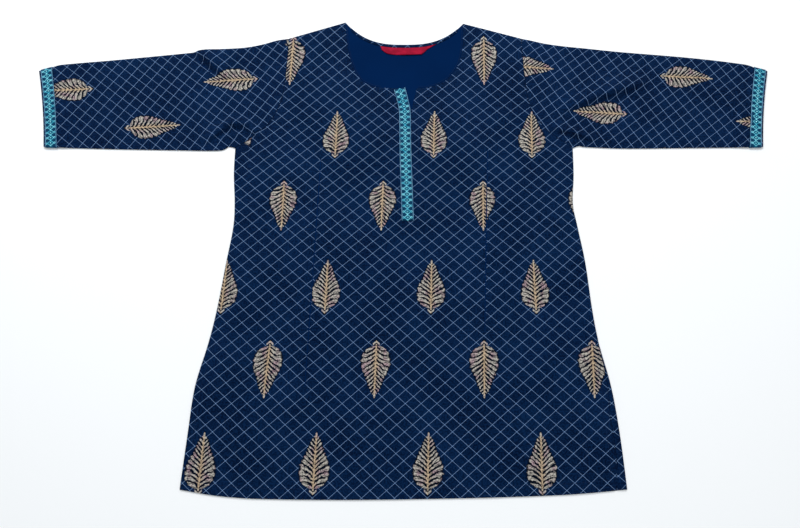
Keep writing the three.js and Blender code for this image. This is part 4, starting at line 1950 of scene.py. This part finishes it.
@dataclass
class NeckLabel:
    """The plain red label that hangs from the turned neck edge, with its folded end in sight."""

    levels: Levels
    wardrobe: Wardrobe
    right: float = -38.0
    left: float = 42.0
    tail: float = 55.0
    height: float = 14.0
    slant: float = 11.0
    under: float = 6.3
    thickness: float = 0.45

    def outline(self) -> Array:
        """The label's edge."""
        upper = CUT.back_neck(self.under, 120)
        upper = upper[(upper[:, 0] > self.right) & (upper[:, 0] < self.tail)]
        low = CUT.back_low - self.under - self.height + 0.3
        lower = smooth(
            [
                (self.right + 2.5, low + 10),
                (self.right + self.slant, low + 3),
                (self.right + self.slant * 2, low + 0.8),
                (2, low),
                (self.left - self.slant - 6, low + 1),
                (self.left - self.slant, low + 1.6),
                (self.left - 2, low + self.height - 3),
            ],
            6,
        )
        return np.vstack([upper, lower])

    def build(self) -> bpy.types.Object:
        """Builds the label."""
        outline = self.outline()
        points, faces = triangulate(outline, 1.6)
        hang = np.clip((CUT.back_low - self.under - points[:, 1]) / self.height, 0, 1)
        wave = 0.35 * np.sin(points[:, 0] / 9.0) + 0.25 * np.sin(points[:, 0] / 4.3 + 1)
        z = self.levels.front_low + 0.7 + hang * (0.5 + wave)
        faces = facing_up(points, faces)
        skin = Skin(np.column_stack([points, z]), faces, points[np.array(faces)].reshape(-1, 2))
        lower = skin.points - [0, 0, self.thickness]
        piece = two_faced("label_cloth", skin, lower, [self.wardrobe.label] * 2, Face.UP)
        return declare(piece, "label_satin", "neck_label")


@dataclass
class Stitching:
    """Rows of machine stitches on the front: hem, side edges above it, and neckline."""

    levels: Levels
    wardrobe: Wardrobe
    repeater: Repeater
    stitch: Stitch = Stitch()
    pitch: float = 3.1
    hem_up: float = 14.0
    neck_in: float = 2.2
    vent_in: float = 9.0

    def on_front(self, xy: Array) -> Array:
        """Points lifted on to the front's face."""
        return np.column_stack([xy, self.levels.front_top(xy) + 0.05])

    def front_rows(self) -> list[Array]:
        """Every row on the front."""
        foot = SIDE_SEAM[0]
        hem = CUT.hem()
        hem = hem[(hem[:, 0] > foot.right + 6) & (hem[:, 0] < foot.left - 22)] + [0, self.hem_up]
        vent, closed = (
            line[(line[:, 1] < VENT_INSET[-1][0]) & (line[:, 1] > foot.at + 10)] + [inwards * self.vent_in, 0]
            for line, inwards in ((CUT.vented_edge(), -1), (side_seam(Side.RIGHT), 1))
        )
        necks = [
            offset(CUT.front_neck_side(Side.LEFT), -self.neck_in)[2:-2],
            offset(CUT.front_neck_side(Side.RIGHT), self.neck_in)[2:-8],
        ]
        return [self.on_front(even(line, 4.0)) for line in (hem, vent, closed, *necks)]

    def build(self) -> bpy.types.Object:
        """Builds the stitches on the front."""
        unit = self.stitch.unit()
        piece = self.repeater.place(
            "front_stitches", self.front_rows(), unit, self.pitch, (0, 0, 0), self.wardrobe.thread, 0.05, 3
        )
        bpy.data.objects.remove(unit)
        return declare(piece, "thread")


# ---- stage and camera -------------------------------------------------------------------------


@dataclass(frozen=True)
class Lamp:
    """A square soft light that faces the garment: its place in millimetres, its side in metres, its watts."""

    name: str
    place: Place
    side: float
    power: float

    def build(self) -> None:
        """Adds the light."""
        data = bpy.data.lights.new(self.name, "AREA")
        data.size, data.energy = self.side, self.power
        lamp = bpy.data.objects.new(self.name, data)
        lamp.location = Vector(self.place) * MM
        lamp.rotation_euler = (-Vector(self.place)).to_track_quat("-Z", "Y").to_euler()
        bpy.context.scene.collection.objects.link(lamp)


@dataclass
class Studio:
    """The pale ground, the soft lights and the camera over the hem. The lens is a share of the sensor."""

    elevation: float = 74.3
    distance: float = 904.5
    aim: Place = (-5.3, -46.0, 0.0)
    lens: float = 0.75375
    sensor: float = 36.0
    half_ground: float = 6000.0
    air: Colour = (0.93, 0.97, 1.0, 1.0)
    air_strength: float = 0.535
    lamps: tuple[Lamp, ...] = (
        Lamp("key", (-250, 1500, 1500), 0.9, 33.0),
        Lamp("fill", (500, -900, 2000), 2.4, 9.5),
    )

    def build(self, paper: bpy.types.Material) -> None:
        """Builds the stage, the lights and the camera."""
        low = CAD_BOUNDS[0][2] / MM - 0.05
        half = self.half_ground
        corners = np.array([(-half, -half, low), (half, -half, low), (half, half, low), (-half, half, low)])
        floor = new_object("ground", mesh_from("ground", corners, [(0, 1, 2, 3)]), [paper])
        for lamp in self.lamps:
            lamp.build()
        world = bpy.data.worlds.new("room")
        bpy.context.scene.world = world
        world.use_nodes = True
        background = world.node_tree.nodes["Background"]
        background.inputs["Color"].default_value = self.air
        background.inputs["Strength"].default_value = self.air_strength
        self.camera()
        bpy.context.scene.view_settings.view_transform = "Standard"

    def camera(self) -> None:
        """The camera, square to the garment's width and tipped towards the neck."""
        data = bpy.data.cameras.new("camera")
        data.sensor_width = self.sensor
        data.lens = self.lens * self.sensor
        tip = math.radians(self.elevation)
        eye = bpy.data.objects.new("camera", data)
        back = Vector((0.0, -math.cos(tip), math.sin(tip))) * self.distance
        eye.location = (Vector(self.aim) + back) * MM
        eye.rotation_euler = (math.pi / 2 - tip, 0.0, 0.0)
        bpy.context.scene.collection.objects.link(eye)
        bpy.context.scene.camera = eye


# ---- the garment ------------------------------------------------------------------------------


def area_of(outline: Array) -> float:
    """Area inside an outline, in square metres."""
    x, y = outline[:, 0], outline[:, 1]
    return abs(x @ np.roll(y, -1) - y @ np.roll(x, -1)) / 2 * MM * MM


def make_sleeve(side: Side, levels: Levels, wardrobe: Wardrobe, dressing: RibbonDressing) -> None:
    sleeve = Sleeve(side, levels, wardrobe)
    cloth, ribbon = sleeve.cloth(), sleeve.cuff_ribbon()
    across = tuple(sleeve.axis() * side.value)
    name, seed = f"cuff_{side.label}", 9 + side.value
    dress = dressing.dress(name, sleeve.figure_runs(), across, sleeve.cord_lines(), seed)


def main() -> None:
    """Builds and declares every piece, in order."""
    logging.basicConfig(level=logging.INFO, format="%(name)s %(message)s")
    wardrobe, levels, repeater = Wardrobe(), Levels(), Repeater()
    body = BodyPanels(levels, wardrobe)
    back, front = body.back(), body.front()
    vent_hem, binding = body.vent_hem(), body.neck_binding()
    label = NeckLabel(levels, wardrobe).build()
    stitches = Stitching(levels, wardrobe, repeater).build()
    dressing = RibbonDressing(wardrobe, repeater)
    placket = Placket(levels, wardrobe)
    placket_ribbon = placket.ribbon()
    runs = [placket.face(figure_line(placket.middle()))]
    placket_dress = dressing.dress("placket", runs, (1.0, 0.0, 0.0), [placket.edge(-1), placket.edge(1)], 5)
    back_area = area_of(CUT.outline(CUT.back_neck(), side_seam(Side.LEFT)))
    front_area = area_of(CUT.outline(CUT.front_neck(), CUT.vented_edge()))
    for side in Side:
        make_sleeve(side, levels, wardrobe, dressing)
    dressing.clear()
    Studio().build(wardrobe.paper)


if __name__ == "__main__":
    main()
